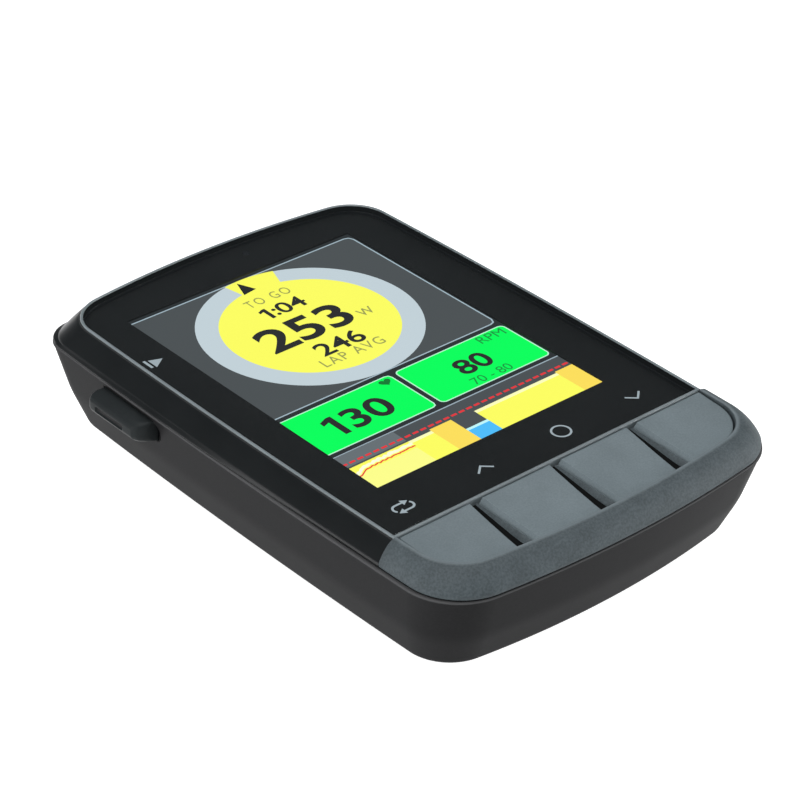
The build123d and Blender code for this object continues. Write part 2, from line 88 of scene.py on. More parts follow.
def outline(p, ns=44, nc=22, ne=40):
    """Rounded case outline, anticlockwise from the lower right. Every outline has the same count of points."""
    hw, yt, yb, st, sb, bow, rt, rb = p
    xc = hw - bow; ym = (yt + yb) / 2
    Cs, Rs = circ3((xc, yb + sb), (hw, ym), (xc, yt - st))
    Ct, Rt = circ3((xc, yt - st), (0, yt), (-xc, yt - st))
    Cb, Rb = circ3((xc, yb + sb), (0, yb), (-xc, yb + sb))
    Ft = meet(Cs, Rs - rt, Ct, Rt - rt, np.array([xc, yt - st])); Fb = meet(Cs, Rs - rb, Cb, Rb - rb, np.array([xc, yb + sb]))
    ts = Cs + (Ft - Cs) * Rs / (Rs - rt); tt = Ct + (Ft - Ct) * Rt / (Rt - rt)
    bs = Cs + (Fb - Cs) * Rs / (Rs - rb); bb = Cb + (Fb - Cb) * Rb / (Rb - rb)
    m = np.array([-1, 1])
    return np.concatenate([arc(Cs, Rs, bs, ts, ns), arc(Ft, rt, ts, tt, nc), arc(Ct, Rt, tt, tt * m, ne), arc(Ft * m, rt, tt * m, ts * m, nc),
                           arc(Cs * m, Rs, ts * m, bs * m, ns), arc(Fb * m, rb, bs * m, bb * m, nc), arc(Cb, Rb, bb * m, bb, ne), arc(Fb, rb, bb, bs, nc)])


def grow(p, d):
    hw, yt, yb, st, sb, bow, rt, rb = p
    return (hw + d, yt + d, yb - d, st, sb, bow, rt + d, rb + d)


def lerp(a, b, t):
    return tuple(x + (y - x) * t for x, y in zip(a, b))


def clip_half(poly, n, d):
    """Part of a convex polygon where n.p <= d."""
    out = []
    for i in range(len(poly)):
        p, q = poly[i], poly[(i + 1) % len(poly)]
        a, b = n[0] * p[0] + n[1] * p[1] - d, n[0] * q[0] + n[1] * q[1] - d
        if a <= 0:
            out.append(p)
        if (a < 0 < b) or (b < 0 < a):
            t = a / (a - b)
            out.append((p[0] + (q[0] - p[0]) * t, p[1] + (q[1] - p[1]) * t))
    res = []
    for p in out:
        if not res or math.hypot(p[0] - res[-1][0], p[1] - res[-1][1]) > 1e-4:
            res.append(p)
    if len(res) > 2 and math.hypot(res[0][0] - res[-1][0], res[0][1] - res[-1][1]) < 1e-4:
        res.pop()
    return res


# ------------------------------------------------------------------ meshes
def new_object(name, bm, smooth=True, angle=32):
    bmesh.ops.recalc_face_normals(bm, faces=bm.faces)
    me = bpy.data.meshes.new(name)
    bm.to_mesh(me)
    bm.free()
    ob = bpy.data.objects.new(name, me)
    COL.objects.link(ob)
    if smooth:
        shade(ob, angle)
    return ob


def shade(ob, angle=32):
    me = ob.data
    for p in me.polygons:
        p.use_smooth = True
    bm = bmesh.new(); bm.from_mesh(me)
    lim = math.radians(angle)
    for e in bm.edges:
        e.smooth = not (len(e.link_faces) != 2 or e.calc_face_angle(3.14) > lim)
    bm.to_mesh(me); bm.free()


def stack_bm(rings, cyclic=False, caps=True):
    """Surface through rings, each (points (n, 2), z). cyclic joins the last ring to the first."""
    bm = bmesh.new()
    rows = []
    for pts, z in rings:
        zz = np.broadcast_to(z, (len(pts),))
        rows.append([bm.verts.new((p[0] * MM, p[1] * MM, k * MM)) for p, k in zip(pts, zz)])
    n = len(rows[0])
    pairs = list(zip(rows[:-1], rows[1:])) + ([(rows[-1], rows[0])] if cyclic else [])
    for a, b in pairs:
        for i in range(n):
            j = (i + 1) % n
            bm.faces.new((a[i], a[j], b[j], b[i]))
    if caps and not cyclic:
        bm.faces.new(rows[0][::-1]); bm.faces.new(rows[-1])
    return bm


def prism_bm(poly, z0, z1, bm=None):
    bm = bm or bmesh.new()
    a = [bm.verts.new((p[0] * MM, p[1] * MM, z0 * MM)) for p in poly]
    b = [bm.verts.new((p[0] * MM, p[1] * MM, z1 * MM)) for p in poly]
    n = len(poly)
    for i in range(n):
        j = (i + 1) % n
        bm.faces.new((a[i], a[j], b[j], b[i]))
    bm.faces.new(a[::-1]); bm.faces.new(b)
    return bm


def add_mods(ob, *mods):
    """Adds modifiers given as (type, settings), and applies them to the mesh."""
    for kind, kw in mods:
        m = ob.modifiers.new(kind.lower(), kind)
        for k, v in kw.items():
            setattr(m, k, v)
    dg = bpy.context.evaluated_depsgraph_get()
    me = bpy.data.meshes.new_from_object(ob.evaluated_get(dg))
    old = ob.data
    ob.modifiers.clear()
    ob.data = me
    bpy.data.meshes.remove(old)
    return ob


def cut(ob, other, op="DIFFERENCE"):
    add_mods(ob, ("BOOLEAN", {"object": other, "operation": op, "solver": "EXACT"}))
    bpy.data.objects.remove(other)
    return ob


def lathe(name, prof, centre, axis="Z", seg=64):
    """Closed turned solid: prof is [(radius, height)], from the axis and back to it."""
    bm = bmesh.new()
    rows = []
    for r, h in prof:
        if r < 1e-6:
            rows.append([bm.verts.new((0, 0, h * MM))])
        else:
            rows.append([bm.verts.new((r * math.cos(2 * math.pi * i / seg) * MM, r * math.sin(2 * math.pi * i / seg) * MM, h * MM)) for i in range(seg)])
    for a, b in zip(rows[:-1], rows[1:]):
        for i in range(seg):
            j = (i + 1) % seg
            if len(a) == 1 and len(b) > 1:
                bm.faces.new((a[0], b[j], b[i]))
            elif len(b) == 1 and len(a) > 1:
                bm.faces.new((a[i], a[j], b[0]))
            elif len(a) > 1:
                bm.faces.new((a[i], a[j], b[j], b[i]))
    if axis == "X":
        bm.transform(Matrix.Rotation(math.radians(90), 4, "Y"))
    if axis == "Y":
        bm.transform(Matrix.Rotation(math.radians(-90), 4, "X"))
    bm.transform(Matrix.Translation(Vector(centre) * MM))
    return new_object(name, bm)


def rod(x, y, z0, z1, r, seg=48):
    return lathe("tmp", [(0, z0), (r, z0), (r, z1), (0, z1)], (x, y, 0), seg=seg)


def round_box(name, x0, x1, y0, y1, z0, z1, r, seg=5, mat=None):
    bm = bmesh.new()
    bmesh.ops.create_cube(bm, size=1)
    for v in bm.verts:
        v.co = Vector(((x0 + x1) / 2 + v.co.x * (x1 - x0), (y0 + y1) / 2 + v.co.y * (y1 - y0), (z0 + z1) / 2 + v.co.z * (z1 - z0))) * MM
    bmesh.ops.bevel(bm, geom=bm.edges[:], offset=r * MM, segments=seg, profile=0.5, affect="EDGES")
    if mat is not None:
        bm.transform(mat)
    return new_object(name, bm)


# ------------------------------------------------------------------ materials
def srgb(r, g, b):
    f = lambda c: c / 255 / 12.92 if c / 255 <= 0.04045 else ((c / 255 + 0.055) / 1.055) ** 2.4
    return (f(r), f(g), f(b), 1.0)


def plastic(name, color, rough=0.45, grain=9000, bump=0.25, depth=0.006, var=0.10, speck=0.0, speck_scale=3500, edge_wear_and_highlight=0.12, bevel=0.10, metallic=0.0, spec=0.5, coat=0.0, tint=None, cloud_scale=130, crest=None):
    """Moulded surface: fine grain, uneven gloss, faint cloudiness, softened edges painted paler (partly edge wear,
    partly painted highlight), and an optional band at a set height painted paler as a painted highlight.
    """
    m = bpy.data.materials.new(name)
    m.use_nodes = True
    nt = m.node_tree
    N, L = nt.nodes, nt.links
    bsdf = N["Principled BSDF"]
    bsdf.inputs["Metallic"].default_value = metallic
    bsdf.inputs["Specular IOR Level"].default_value = spec
    if coat:
        bsdf.inputs["Coat Weight"].default_value = coat
        bsdf.inputs["Coat Roughness"].default_value = 0.12
    tc = N.new("ShaderNodeTexCoord")
    fine = N.new("ShaderNodeTexNoise"); fine.inputs["Scale"].default_value = grain; fine.inputs["Detail"].default_value = 3
    cloud = N.new("ShaderNodeTexNoise"); cloud.inputs["Scale"].default_value = cloud_scale; cloud.inputs["Detail"].default_value = 4
    mid = N.new("ShaderNodeTexNoise"); mid.inputs["Scale"].default_value = speck_scale; mid.inputs["Detail"].default_value = 2
    for n in (fine, cloud, mid):
        L.new(tc.outputs["Object"], n.inputs["Vector"])
    ramp = N.new("ShaderNodeValToRGB")
    lo = tuple(c * (1 - var) for c in color[:3]) + (1,)
    hi = tuple(min(1, c * (1 + var)) for c in (tint or color)[:3]) + (1,)
    ramp.color_ramp.elements[0].color = lo; ramp.color_ramp.elements[0].position = 0.3
    ramp.color_ramp.elements[1].color = hi; ramp.color_ramp.elements[1].position = 0.7
    L.new(cloud.outputs["Fac"], ramp.inputs["Fac"])
    last = ramp.outputs["Color"]
    if speck:
        sr = N.new("ShaderNodeValToRGB")
        sr.color_ramp.elements[0].color = (1 - speck,) * 3 + (1,); sr.color_ramp.elements[0].position = 0.35
        sr.color_ramp.elements[1].color = (1 + speck,) * 3 + (1,); sr.color_ramp.elements[1].position = 0.65
        L.new(mid.outputs["Fac"], sr.inputs["Fac"])
        mul = N.new("ShaderNodeMix"); mul.data_type = "RGBA"; mul.blend_type = "MULTIPLY"; mul.inputs["Factor"].default_value = 1
        L.new(last, mul.inputs["A"]); L.new(sr.outputs["Color"], mul.inputs["B"])
        last = mul.outputs["Result"]
    bev = N.new("ShaderNodeBevel"); bev.samples = 4; bev.inputs["Radius"].default_value = bevel * MM
    # sharp edges painted paler: partly edge wear, partly a painted highlight along the rims
    if edge_wear_and_highlight:
        geo = N.new("ShaderNodeNewGeometry")
        dot = N.new("ShaderNodeVectorMath"); dot.operation = "DOT_PRODUCT"
        L.new(bev.outputs["Normal"], dot.inputs[0]); L.new(geo.outputs["Normal"], dot.inputs[1])
        mr = N.new("ShaderNodeMapRange")
        mr.inputs["From Min"].default_value = 0.995; mr.inputs["From Max"].default_value = 0.90
        mr.inputs["To Min"].default_value = 0; mr.inputs["To Max"].default_value = edge_wear_and_highlight
        L.new(dot.outputs["Value"], mr.inputs["Value"])
        mix = N.new("ShaderNodeMix"); mix.data_type = "RGBA"
        L.new(mr.outputs["Result"], mix.inputs["Factor"]); L.new(last, mix.inputs["A"])
        mix.inputs["B"].default_value = tuple(min(1, c * 2.2 + 0.05) for c in color[:3]) + (1,)
        last = mix.outputs["Result"]
    if crest:                                       # painted highlight: a band at a given height in the object painted paler, standing in for light caught along a top edge
        sep = N.new("ShaderNodeSeparateXYZ"); L.new(tc.outputs["Object"], sep.inputs["Vector"])
        crest_highlight_mask = N.new("ShaderNodeMapRange"); crest_highlight_mask.inputs["From Min"].default_value = crest[0] * MM; crest_highlight_mask.inputs["From Max"].default_value = crest[1] * MM
        crest_highlight_mask.inputs["To Min"].default_value = 0; crest_highlight_mask.inputs["To Max"].default_value = crest[2]
        L.new(sep.outputs["Z"], crest_highlight_mask.inputs["Value"])
        crest_highlight_mix = N.new("ShaderNodeMix"); crest_highlight_mix.data_type = "RGBA"
        L.new(crest_highlight_mask.outputs["Result"], crest_highlight_mix.inputs["Factor"]); L.new(last, crest_highlight_mix.inputs["A"])
        crest_highlight_mix.inputs["B"].default_value = tuple(min(1, c * 2.4 + 0.04) for c in color[:3]) + (1,)
        last = crest_highlight_mix.outputs["Result"]
    L.new(last, bsdf.inputs["Base Color"])
    rr = N.new("ShaderNodeMapRange")
    rr.inputs["To Min"].default_value = max(0.02, rough - 0.06); rr.inputs["To Max"].default_value = min(1, rough + 0.06)
    L.new(cloud.outputs["Fac"], rr.inputs["Value"]); L.new(rr.outputs["Result"], bsdf.inputs["Roughness"])
    bp = N.new("ShaderNodeBump"); bp.inputs["Strength"].default_value = bump; bp.inputs["Distance"].default_value = depth * MM
    L.new(fine.outputs["Fac"], bp.inputs["Height"]); L.new(bev.outputs["Normal"], bp.inputs["Normal"]); L.new(bp.outputs["Normal"], bsdf.inputs["Normal"])
    return m


def glow(name, rgb, strength=1.05, var=0.012):
    """A lit patch of the display: its colour with the faint unevenness of the backlight. Also used for the printed
    marks on the mask, whose glow is painted light.
    """
    m = bpy.data.materials.new(name)
    m.use_nodes = True
    nt = m.node_tree
    N, L = nt.nodes, nt.links
    N.clear()
    out = N.new("ShaderNodeOutputMaterial"); em = N.new("ShaderNodeEmission"); em.inputs["Strength"].default_value = strength
    tc = N.new("ShaderNodeTexCoord"); noise = N.new("ShaderNodeTexNoise"); noise.inputs["Scale"].default_value = 60
    ramp = N.new("ShaderNodeValToRGB")
    c = srgb(*rgb)
    ramp.color_ramp.elements[0].color = tuple(k * (1 - var) for k in c[:3]) + (1,)
    ramp.color_ramp.elements[1].color = tuple(k * (1 + var) for k in c[:3]) + (1,)
    L.new(tc.outputs["Object"], noise.inputs["Vector"]); L.new(noise.outputs["Fac"], ramp.inputs["Fac"])
    L.new(ramp.outputs["Color"], em.inputs["Color"]); L.new(em.outputs["Emission"], out.inputs["Surface"])
    return m


def lens_material(name, ior=1.30):
    m = bpy.data.materials.new(name)
    m.use_nodes = True
    nt = m.node_tree
    N, L = nt.nodes, nt.links
    N.clear()
    out = N.new("ShaderNodeOutputMaterial"); mix = N.new("ShaderNodeMixShader")
    tr = N.new("ShaderNodeBsdfTransparent"); tr.inputs["Color"].default_value = (0.985, 0.99, 0.995, 1)
    gl = N.new("ShaderNodeBsdfGlossy"); gl.inputs["Color"].default_value = (0.93, 0.98, 1.0, 1)
    fr = N.new("ShaderNodeFresnel"); fr.inputs["IOR"].default_value = ior
    tc = N.new("ShaderNodeTexCoord"); noise = N.new("ShaderNodeTexNoise"); noise.inputs["Scale"].default_value = 90
    mr = N.new("ShaderNodeMapRange"); mr.inputs["To Min"].default_value = 0.02; mr.inputs["To Max"].default_value = 0.06
    L.new(tc.outputs["Object"], noise.inputs["Vector"]); L.new(noise.outputs["Fac"], mr.inputs["Value"]); L.new(mr.outputs["Result"], gl.inputs["Roughness"])
    geo = N.new("ShaderNodeNewGeometry"); front = N.new("ShaderNodeMath"); front.operation = "SUBTRACT"; front.inputs[0].default_value = 1
    both = N.new("ShaderNodeMath"); both.operation = "MULTIPLY"
    L.new(geo.outputs["Backfacing"], front.inputs[1]); L.new(fr.outputs["Fac"], both.inputs[0]); L.new(front.outputs["Value"], both.inputs[1])
    L.new(both.outputs["Value"], mix.inputs["Fac"]); L.new(tr.outputs["BSDF"], mix.inputs[1]); L.new(gl.outputs["BSDF"], mix.inputs[2])
    L.new(mix.outputs["Shader"], out.inputs["Surface"])
    return m


MAT = {
    "case_black": plastic("case_black", srgb(17, 19, 20), rough=0.30, grain=12000, bump=0.10, edge_wear_and_highlight=0.10, bevel=0.06, spec=0.30),
    # case_rear: the band just under the seam is painted paler as a painted highlight along the case's top ridge; edges
    # painted paler partly as wear, partly as painted highlight
    "case_rear": plastic("case_rear", srgb(30, 30, 31), rough=0.46, grain=10000, bump=0.28, depth=0.010, speck=0.06, edge_wear_and_highlight=0.22, bevel=0.10, spec=0.03, crest=(14.26, 14.38, 0.90)),
    "rim_grey": plastic("rim_grey", srgb(104, 112, 115), rough=0.30, grain=14000, bump=0.08, edge_wear_and_highlight=0.0, bevel=0.04),
    # bezel_grey: the top of the key band is painted paler as a painted highlight along its crest
    "bezel_grey": plastic("bezel_grey", srgb(67, 74, 77), rough=0.55, spec=0.12, grain=7000, bump=0.45, depth=0.014, speck=0.15, speck_scale=4200, var=0.11, cloud_scale=480, edge_wear_and_highlight=0.35, bevel=0.08, crest=(17.20, 17.29, 0.55)),
    "key_grey": plastic("key_grey", srgb(97, 107, 111), rough=0.50, spec=0.3, grain=9000, bump=0.30, depth=0.008, speck=0.07, speck_scale=5200, var=0.08, cloud_scale=210, edge_wear_and_highlight=0.25, bevel=0.05),
    # near-black painted shade for the groove floors and the hollow under the rim bead
    "painted_shade_black": plastic("painted_shade_black", srgb(7, 8, 8), rough=0.6, spec=0.05, bump=0.2, edge_wear_and_highlight=0.0),
    "mask_black": plastic("mask_black", srgb(17, 18, 18), rough=0.5, grain=14000, bump=0.02, edge_wear_and_highlight=0.0, bevel=0.02, spec=0.1),
    "button_black": plastic("button_black", srgb(34, 37, 38), rough=0.40, grain=11000, bump=0.10, edge_wear_and_highlight=0.30, bevel=0.07, spec=0.06),
    "button_pad": plastic("button_pad", srgb(24, 24, 25), rough=0.55, grain=9000, bump=0.3, edge_wear_and_highlight=0.0, spec=0.15),
    "seal_black": plastic("seal_black", srgb(22, 22, 22), rough=0.7, edge_wear_and_highlight=0.0),
    "display": plastic("display", srgb(48, 51, 53), rough=0.35, bump=0.02, edge_wear_and_highlight=0.0, bevel=0.03, spec=0.2),
    "white_film": plastic("white_film", srgb(228, 228, 226), rough=0.6, bump=0.1, edge_wear_and_highlight=0.0),
    "sheet_steel": plastic("sheet_steel", srgb(190, 190, 188), rough=0.35, metallic=1.0, bump=0.15, edge_wear_and_highlight=0.0, bevel=0.04),
    "flex_amber": plastic("flex_amber", srgb(196, 120, 40), rough=0.35, bump=0.1, edge_wear_and_highlight=0.0, bevel=0.02),
    "connector_tan": plastic("connector_tan", srgb(205, 190, 160), rough=0.5, edge_wear_and_highlight=0.1, bevel=0.05),
    "chip_black": plastic("chip_black", srgb(40, 40, 42), rough=0.5, edge_wear_and_highlight=0.1, bevel=0.04),
    "board_green": plastic("board_green", srgb(18, 92, 48), rough=0.35, bump=0.1, var=0.2, edge_wear_and_highlight=0.1, bevel=0.04, coat=0.4),
    "shield_tin": plastic("shield_tin", srgb(205, 203, 198), rough=0.3, metallic=1.0, bump=0.1, edge_wear_and_highlight=0.0, bevel=0.05),
    "switch_body": plastic("switch_body", srgb(60, 60, 60), rough=0.4, edge_wear_and_highlight=0.1, bevel=0.05),
    "spring_steel": plastic("spring_steel", srgb(180, 180, 180), rough=0.25, metallic=1.0, edge_wear_and_highlight=0.0, bevel=0.03),
    "door_rubber": plastic("door_rubber", srgb(40, 40, 41), rough=0.62, grain=9000, bump=0.3, edge_wear_and_highlight=0.25, bevel=0.16),
    "antenna_ceramic": plastic("antenna_ceramic", srgb(222, 214, 196), rough=0.55, edge_wear_and_highlight=0.1, bevel=0.05),
    "battery_foil": plastic("battery_foil", srgb(210, 212, 215), rough=0.35, metallic=0.8, bump=0.4, depth=0.02, grain=1500, edge_wear_and_highlight=0.1, bevel=0.1),
    "foam_black": plastic("foam_black", srgb(36, 36, 36), rough=0.9, grain=3500, bump=0.8, depth=0.03, edge_wear_and_highlight=0.0),
    "lead_red": plastic("lead_red", srgb(190, 24, 20), rough=0.4, edge_wear_and_highlight=0.0),
    "screw_black": plastic("screw_black", srgb(70, 70, 72), rough=0.32, metallic=1.0, edge_wear_and_highlight=0.4, bevel=0.05),
    "mount_black": plastic("mount_black", srgb(42, 42, 43), rough=0.5, grain=9000, bump=0.3, depth=0.01, speck=0.06, edge_wear_and_highlight=0.25, bevel=0.14),
    "lens": lens_material("lens"),
}
# the printed marks on the mask glow of their own accord: painted light, so they show under the lens
PRINT_GLOW = glow("icon_print_glow", (163, 176, 182), 1.0)
slot_of = {s["node"]: s["material_slot"] for s in frame["record"]["subparts"]}
for name, ob in frame["nodes"].items():
    m = MAT[slot_of.get(name, "case_black")]
    ob.data.materials.clear()
    ob.data.materials.append(m)


def dress(ob, mat, body="case", stands_for=()):
    ob.data.materials.clear()
    ob.data.materials.append(MAT[mat] if isinstance(mat, str) else mat)
    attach(ob, body)
    if stands_for:
        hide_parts(*stands_for)
    return ob


# ------------------------------------------------------------------ rear case
def wall(z):
    """Rear case outline at a height: a nearly upright band above, a facet that leans in more below, a soft crease between."""
    def lag(a, b, c, t):
        return a + (b - a) * t if c is None else a
    k = 8.6                                        # height of the crease
    knee = grow(lerp(BACK, LIP, (k - Z_BACK) / (Z_SEAM - Z_BACK)), 0.36)
    s = 0.9                                        # half length of the blend
    up = lambda h: lerp(knee, LIP, (h - k) / (Z_SEAM - k))
    low = lambda h: lerp(BACK, knee, (h - Z_BACK) / (k - Z_BACK))
    if z >= k + s:
        return up(z)
    if z <= k - s:
        return low(z)
    t = (z - (k - s)) / (2 * s)
    a, b, c = low(k - s), knee, up(k + s)
    return tuple((1 - t) ** 2 * x + 2 * t * (1 - t) * y + t * t * w for x, y, w in zip(a, b, c))


rings = [(outline(grow(CAV_TOP, 0.0)), Z_SEAM), (outline(grow(LIP, -0.26)), Z_SEAM), (outline(grow(LIP, -0.17)), Z_SEAM - 0.012),
         (outline(grow(LIP, -0.09)), Z_SEAM - 0.045), (outline(grow(LIP, -0.03)), Z_SEAM - 0.11), (outline(grow(LIP, -0.005)), Z_SEAM - 0.19), (outline(LIP), Z_SEAM - 0.26)]
for z in np.linspace(14.2, 4.9, 24):
    rings.append((outline(wall(z)), z))
for a in np.linspace(0, 90, 9):
    r = 0.75
    rings.append((outline(grow(wall(Z_BACK + r * (1 - math.sin(math.radians(a)))), -r * (1 - math.cos(math.radians(a))))), Z_BACK + r * (1 - math.sin(math.radians(a)))))
rings.append((outline(grow(BACK, -2.2)), Z_BACK))
outer = stack_bm(rings + [], caps=False)
bm = outer
bm.verts.ensure_lookup_table()
# inner skin and the two floors, so that the tub is a closed shell
inner = [(outline(lerp(CAV_TOP, CAV_LOW, t)), Z_SEAM + (5.6 - Z_SEAM) * t) for t in (0.0, 0.35, 0.7, 1.0)]
n = len(inner[0][0])
first = bm.verts[:n]
last = bm.verts[(len(rings) - 1) * n:len(rings) * n]
prev = first
for pts, z in inner[1:]:
    row = [bm.verts.new((p[0] * MM, p[1] * MM, z * MM)) for p in pts]
    for i in range(n):
        j = (i + 1) % n
        bm.faces.new((prev[i], row[i], row[j], prev[j]))
    prev = row
bm.faces.new(prev)
bm.faces.new(last)
rear = new_object("rear_shell", bm, angle=30)
SCREWS = [(-19.4, 22.0), (19.4, 22.0), (-10.93, -27.5), (10.93, -27.5)]
MSCREWS = [(9.0 * math.cos(math.radians(a)), 9.0 * math.sin(math.radians(a))) for a in (45, 135, 225, 315)]


def joined(obs, name="tmp"):
    bm = bmesh.new()
    for o in obs:
        bm.from_mesh(o.data)
        bpy.data.objects.remove(o)
    me = bpy.data.meshes.new(name); bm.to_mesh(me); bm.free()
    o = bpy.data.objects.new(name, me); COL.objects.link(o)
    return o


cut(rear, joined([rod(x, y, 5.4, 10.38, 1.70) for x, y in SCREWS] + [rod(x, y, 5.4, 6.7, 1.7) for x, y in MSCREWS]), "UNION")
cut(rear, rod(0, 0, 3, 4.8, 16.56, 128))
cut(rear, joined([rod(x, y, 3, 5.9, 1.32) for x, y in SCREWS] + [rod(5.0, -26.0, 3, 6.5, 0.5)]))
cut(rear, joined([rod(x, y, 5.7, 12, 0.75) for x, y in SCREWS] + [rod(x, y, 3, 6.3, 0.82) for x, y in MSCREWS]))
# scoop round the side button, the button's own pocket and its stem bore
cut(rear, round_box("tmp", -30, -23.26, 11.5, 23.6, 10.15, 13.97, 1.6, 8))
cut(rear, round_box("tmp", -30, -22.52, 12.85, 22.28, 11.03, 13.87, 0.06))
cut(rear, lathe("tmp", [(0, -6), (1.04, -6), (1.04, 6), (0, 6)], (-22, 17.4, 12.25), "X"))
# recess of the port door, and the port
TILT = Matrix.Translation(Vector((22.98, -18.5, 8.8)) * MM) @ Matrix.Rotation(math.radians(15), 4, "Y")
cut(rear, round_box("tmp", -1.28, 4, -6.84, 6.90, -2.82, 2.82, 0.05, mat=TILT))
bm = bmesh.new()
bmesh.ops.create_uvsphere(bm, u_segments=40, v_segments=24, radius=0.95 * MM)
bm.transform(TILT @ Matrix.Translation(Vector((0.35, -7.2, 0)) * MM))
cut(rear, new_object("tmp", bm))
cut(rear, round_box("tmp", 17.5, 24, -23.15, -13.85, 7.05, 10.55, 0.5))
o = lathe("tmp", [(0, -3.5), (0.45, -3.5), (0.45, 3.5), (0, 3.5)], (0, 0, 0), seg=24)
o.data.transform(TILT @ Matrix.Translation(Vector((-0.6, 6.1, 0)) * MM))
cut(rear, o)
shade(rear, 30)
add_mods(rear, ("WEIGHTED_NORMAL", {"keep_sharp": True, "weight": 90}))
dress(rear, "case_rear", stands_for=("rear_case",))


# ------------------------------------------------------------------ upper shell: black band and grey key band
def band(t, roll):
    """Outline offset fraction at depth fraction t: 0 at the rim, 1 at the widest point."""
    return roll * math.sqrt(1 - (1 - t) ** 2) + (1 - roll) * t


def upper_rings(roll, top, low_edge, inner_wall, z_in):
    rs = []
    for off, z in top:
        rs.append((outline(grow(BASE, off)), z))
    z0 = top[-1][1]
    for t in np.linspace(0.06, 1, 16):
        rs.append((outline(grow(lerp(BASE, BAND_LOW, band(t, roll)), top[-1][0] * (1 - t))), z0 + (Z_WIDE - z0) * t))
    rs += low_edge
    rs += [(outline(grow(BASE, inner_wall)), z_in[0]), (outline(grow(BASE, inner_wall)), z_in[1])]
    return rs


def bisect(bm, co, no):
    geom = bm.verts[:] + bm.edges[:] + bm.faces[:]
    r = bmesh.ops.bisect_plane(bm, geom=geom, plane_co=Vector(co) * MM, plane_no=no, clear_outer=True, dist=1e-8)
    edges = [e for e in bm.edges if e.is_boundary]
    bmesh.ops.holes_fill(bm, edges=edges, sides=0)
    left = [e for e in bm.edges if e.is_boundary]
    if left:
        bmesh.ops.contextual_create(bm, geom=left)


def tuck(d_far, d_near):
    """Between two offsets: the lip's along the rear half, the band's at the key end."""
    a, b = outline(grow(LIP, d_far)), outline(grow(BAND_LOW, d_near))
    w = np.clip((a[:, 1] + 20.0) / 34.0, 0, 1)[:, None]
    w = w * w * (3 - 2 * w)
    return a * w + b * (1 - w)


front_low = [(outline(grow(lerp(BAND_LOW, LIP, 0.12), 0.0)), 14.97), (tuck(-0.14, 0.01), 14.80), (tuck(-0.05, -0.02), 14.63), (tuck(-0.06, -0.06), 14.58), (tuck(-0.12, -0.14), 14.555)]
fr = upper_rings(0.12, [(-0.47, 16.46), (-0.12, 16.46), (-0.11, 17.03), (-0.07, 17.08), (-0.02, 17.05), (0.0, 16.96)], front_low, -0.47, (14.56, 16.72))
front = new_object("front_shell", stack_bm(fr[:-1], cyclic=True), angle=30)
# take out the key zone above the band's lower edge
bm = prism_bm([(-40, -40), (40, -40), (40, Y_SPLIT + 0.03), (-40, Y_SPLIT + 0.03)], 14.61, 20)
cut(front, new_object("tmp", bm))
# seat under the lens, with the display's window
seat_poly = clip_half([tuple(p) for p in outline(grow(BASE, -0.30))], (0, -1), 23.9)
seat = new_object("tmp", prism_bm(seat_poly, 15.72, 15.93))
w = WINDOW
cut(seat, new_object("tmp2", prism_bm([(-w[0] - .25, w[1] - .25), (w[0] + .25, w[1] - .25), (w[0] + .25, w[2] + .25), (-w[0] - .25, w[2] + .25)], 15, 17)))
cut(front, seat, "UNION")
shade(front, 30)
add_mods(front, ("WEIGHTED_NORMAL", {"keep_sharp": True, "weight": 90}))
dress(front, "case_black", stands_for=("front_case",))

crest = [(-0.40, 16.95), (-0.395, 17.12), (-0.37, 17.22), (-0.33, 17.275), (-0.27, 17.298), (-0.19, 17.292), (-0.09, 17.26)]
band_low = [(outline(grow(BAND_LOW, -0.01)), 14.82), (outline(grow(BAND_LOW, -0.04)), 14.71), (outline(grow(BAND_LOW, -0.11)), 14.655), (outline(grow(BAND_LOW, -0.30)), 14.64)]
kr = upper_rings(0.58, crest, band_low, -0.40, (14.64, 15.6))
bm = stack_bm(kr, cyclic=True)
bisect(bm, (0, Y_SPLIT, 0), (0, 1, 0))
kb = new_object("key_band", bm, angle=40)
dress(kb, "bezel_grey", stands_for=("keypad_bezel",))

# ------------------------------------------------------------------ rim bead and the bar below the lens
bead = [(-0.115, 16.48), (-0.12, 17.08), (-0.14, 17.18), (-0.19, 17.255), (-0.26, 17.295), (-0.33, 17.285), (-0.40, 17.23), (-0.44, 17.17), (-0.445, 17.14), (-0.20, 17.12), (-0.20, 16.48)]
bm = stack_bm([(outline(grow(BASE, o)), z) for o, z in bead], cyclic=True)
bisect(bm, (0, Y_BAR[0], 0), (0, -1, 0))
rim = new_object("rim_bead", bm, angle=40)
bm = bmesh.new()
y0, y1 = Y_BAR
prof = [(y0, 16.11), (y0, 17.10), (y0 + 0.04, 17.19), (y0 + 0.11, 17.25), (y0 + 0.20, 17.27), (y1 - 0.13, 17.255), (y1 - 0.05, 17.20), (y1, 17.10), (y1, 16.11)]
xs = np.linspace(-21.36, 21.36, 40)
rows = [[bm.verts.new((x * MM, y * MM, z * MM)) for y, z in prof] for x in xs]
for a, b in zip(rows[:-1], rows[1:]):
    for i in range(len(prof)):
        j = (i + 1) % len(prof)
        bm.faces.new((a[i], b[i], b[j], a[j]))
bm.faces.new(rows[0]); bm.faces.new(rows[-1][::-1])
bar = new_object("rim_bar", bm, angle=40)
rim = joined([rim, bar], "rim_bead")
shade(rim, 40)
dress(rim, "rim_grey", stands_for=("bezel_ring",))
# near-black wall under the bead's inner half, seen through the edge of the lens: painted shade filling the hollow there
bm = stack_bm([(outline(grow(BASE, o)), z) for o, z in [(-0.205, 16.48), (-0.205, 17.11), (-0.442, 17.13), (-0.442, 16.48)]], cyclic=True)
bisect(bm, (0, Y_BAR[0], 0), (0, -1, 0))
wall_in = new_object("rim_seat", bm, angle=40)
dress(wall_in, "painted_shade_black")

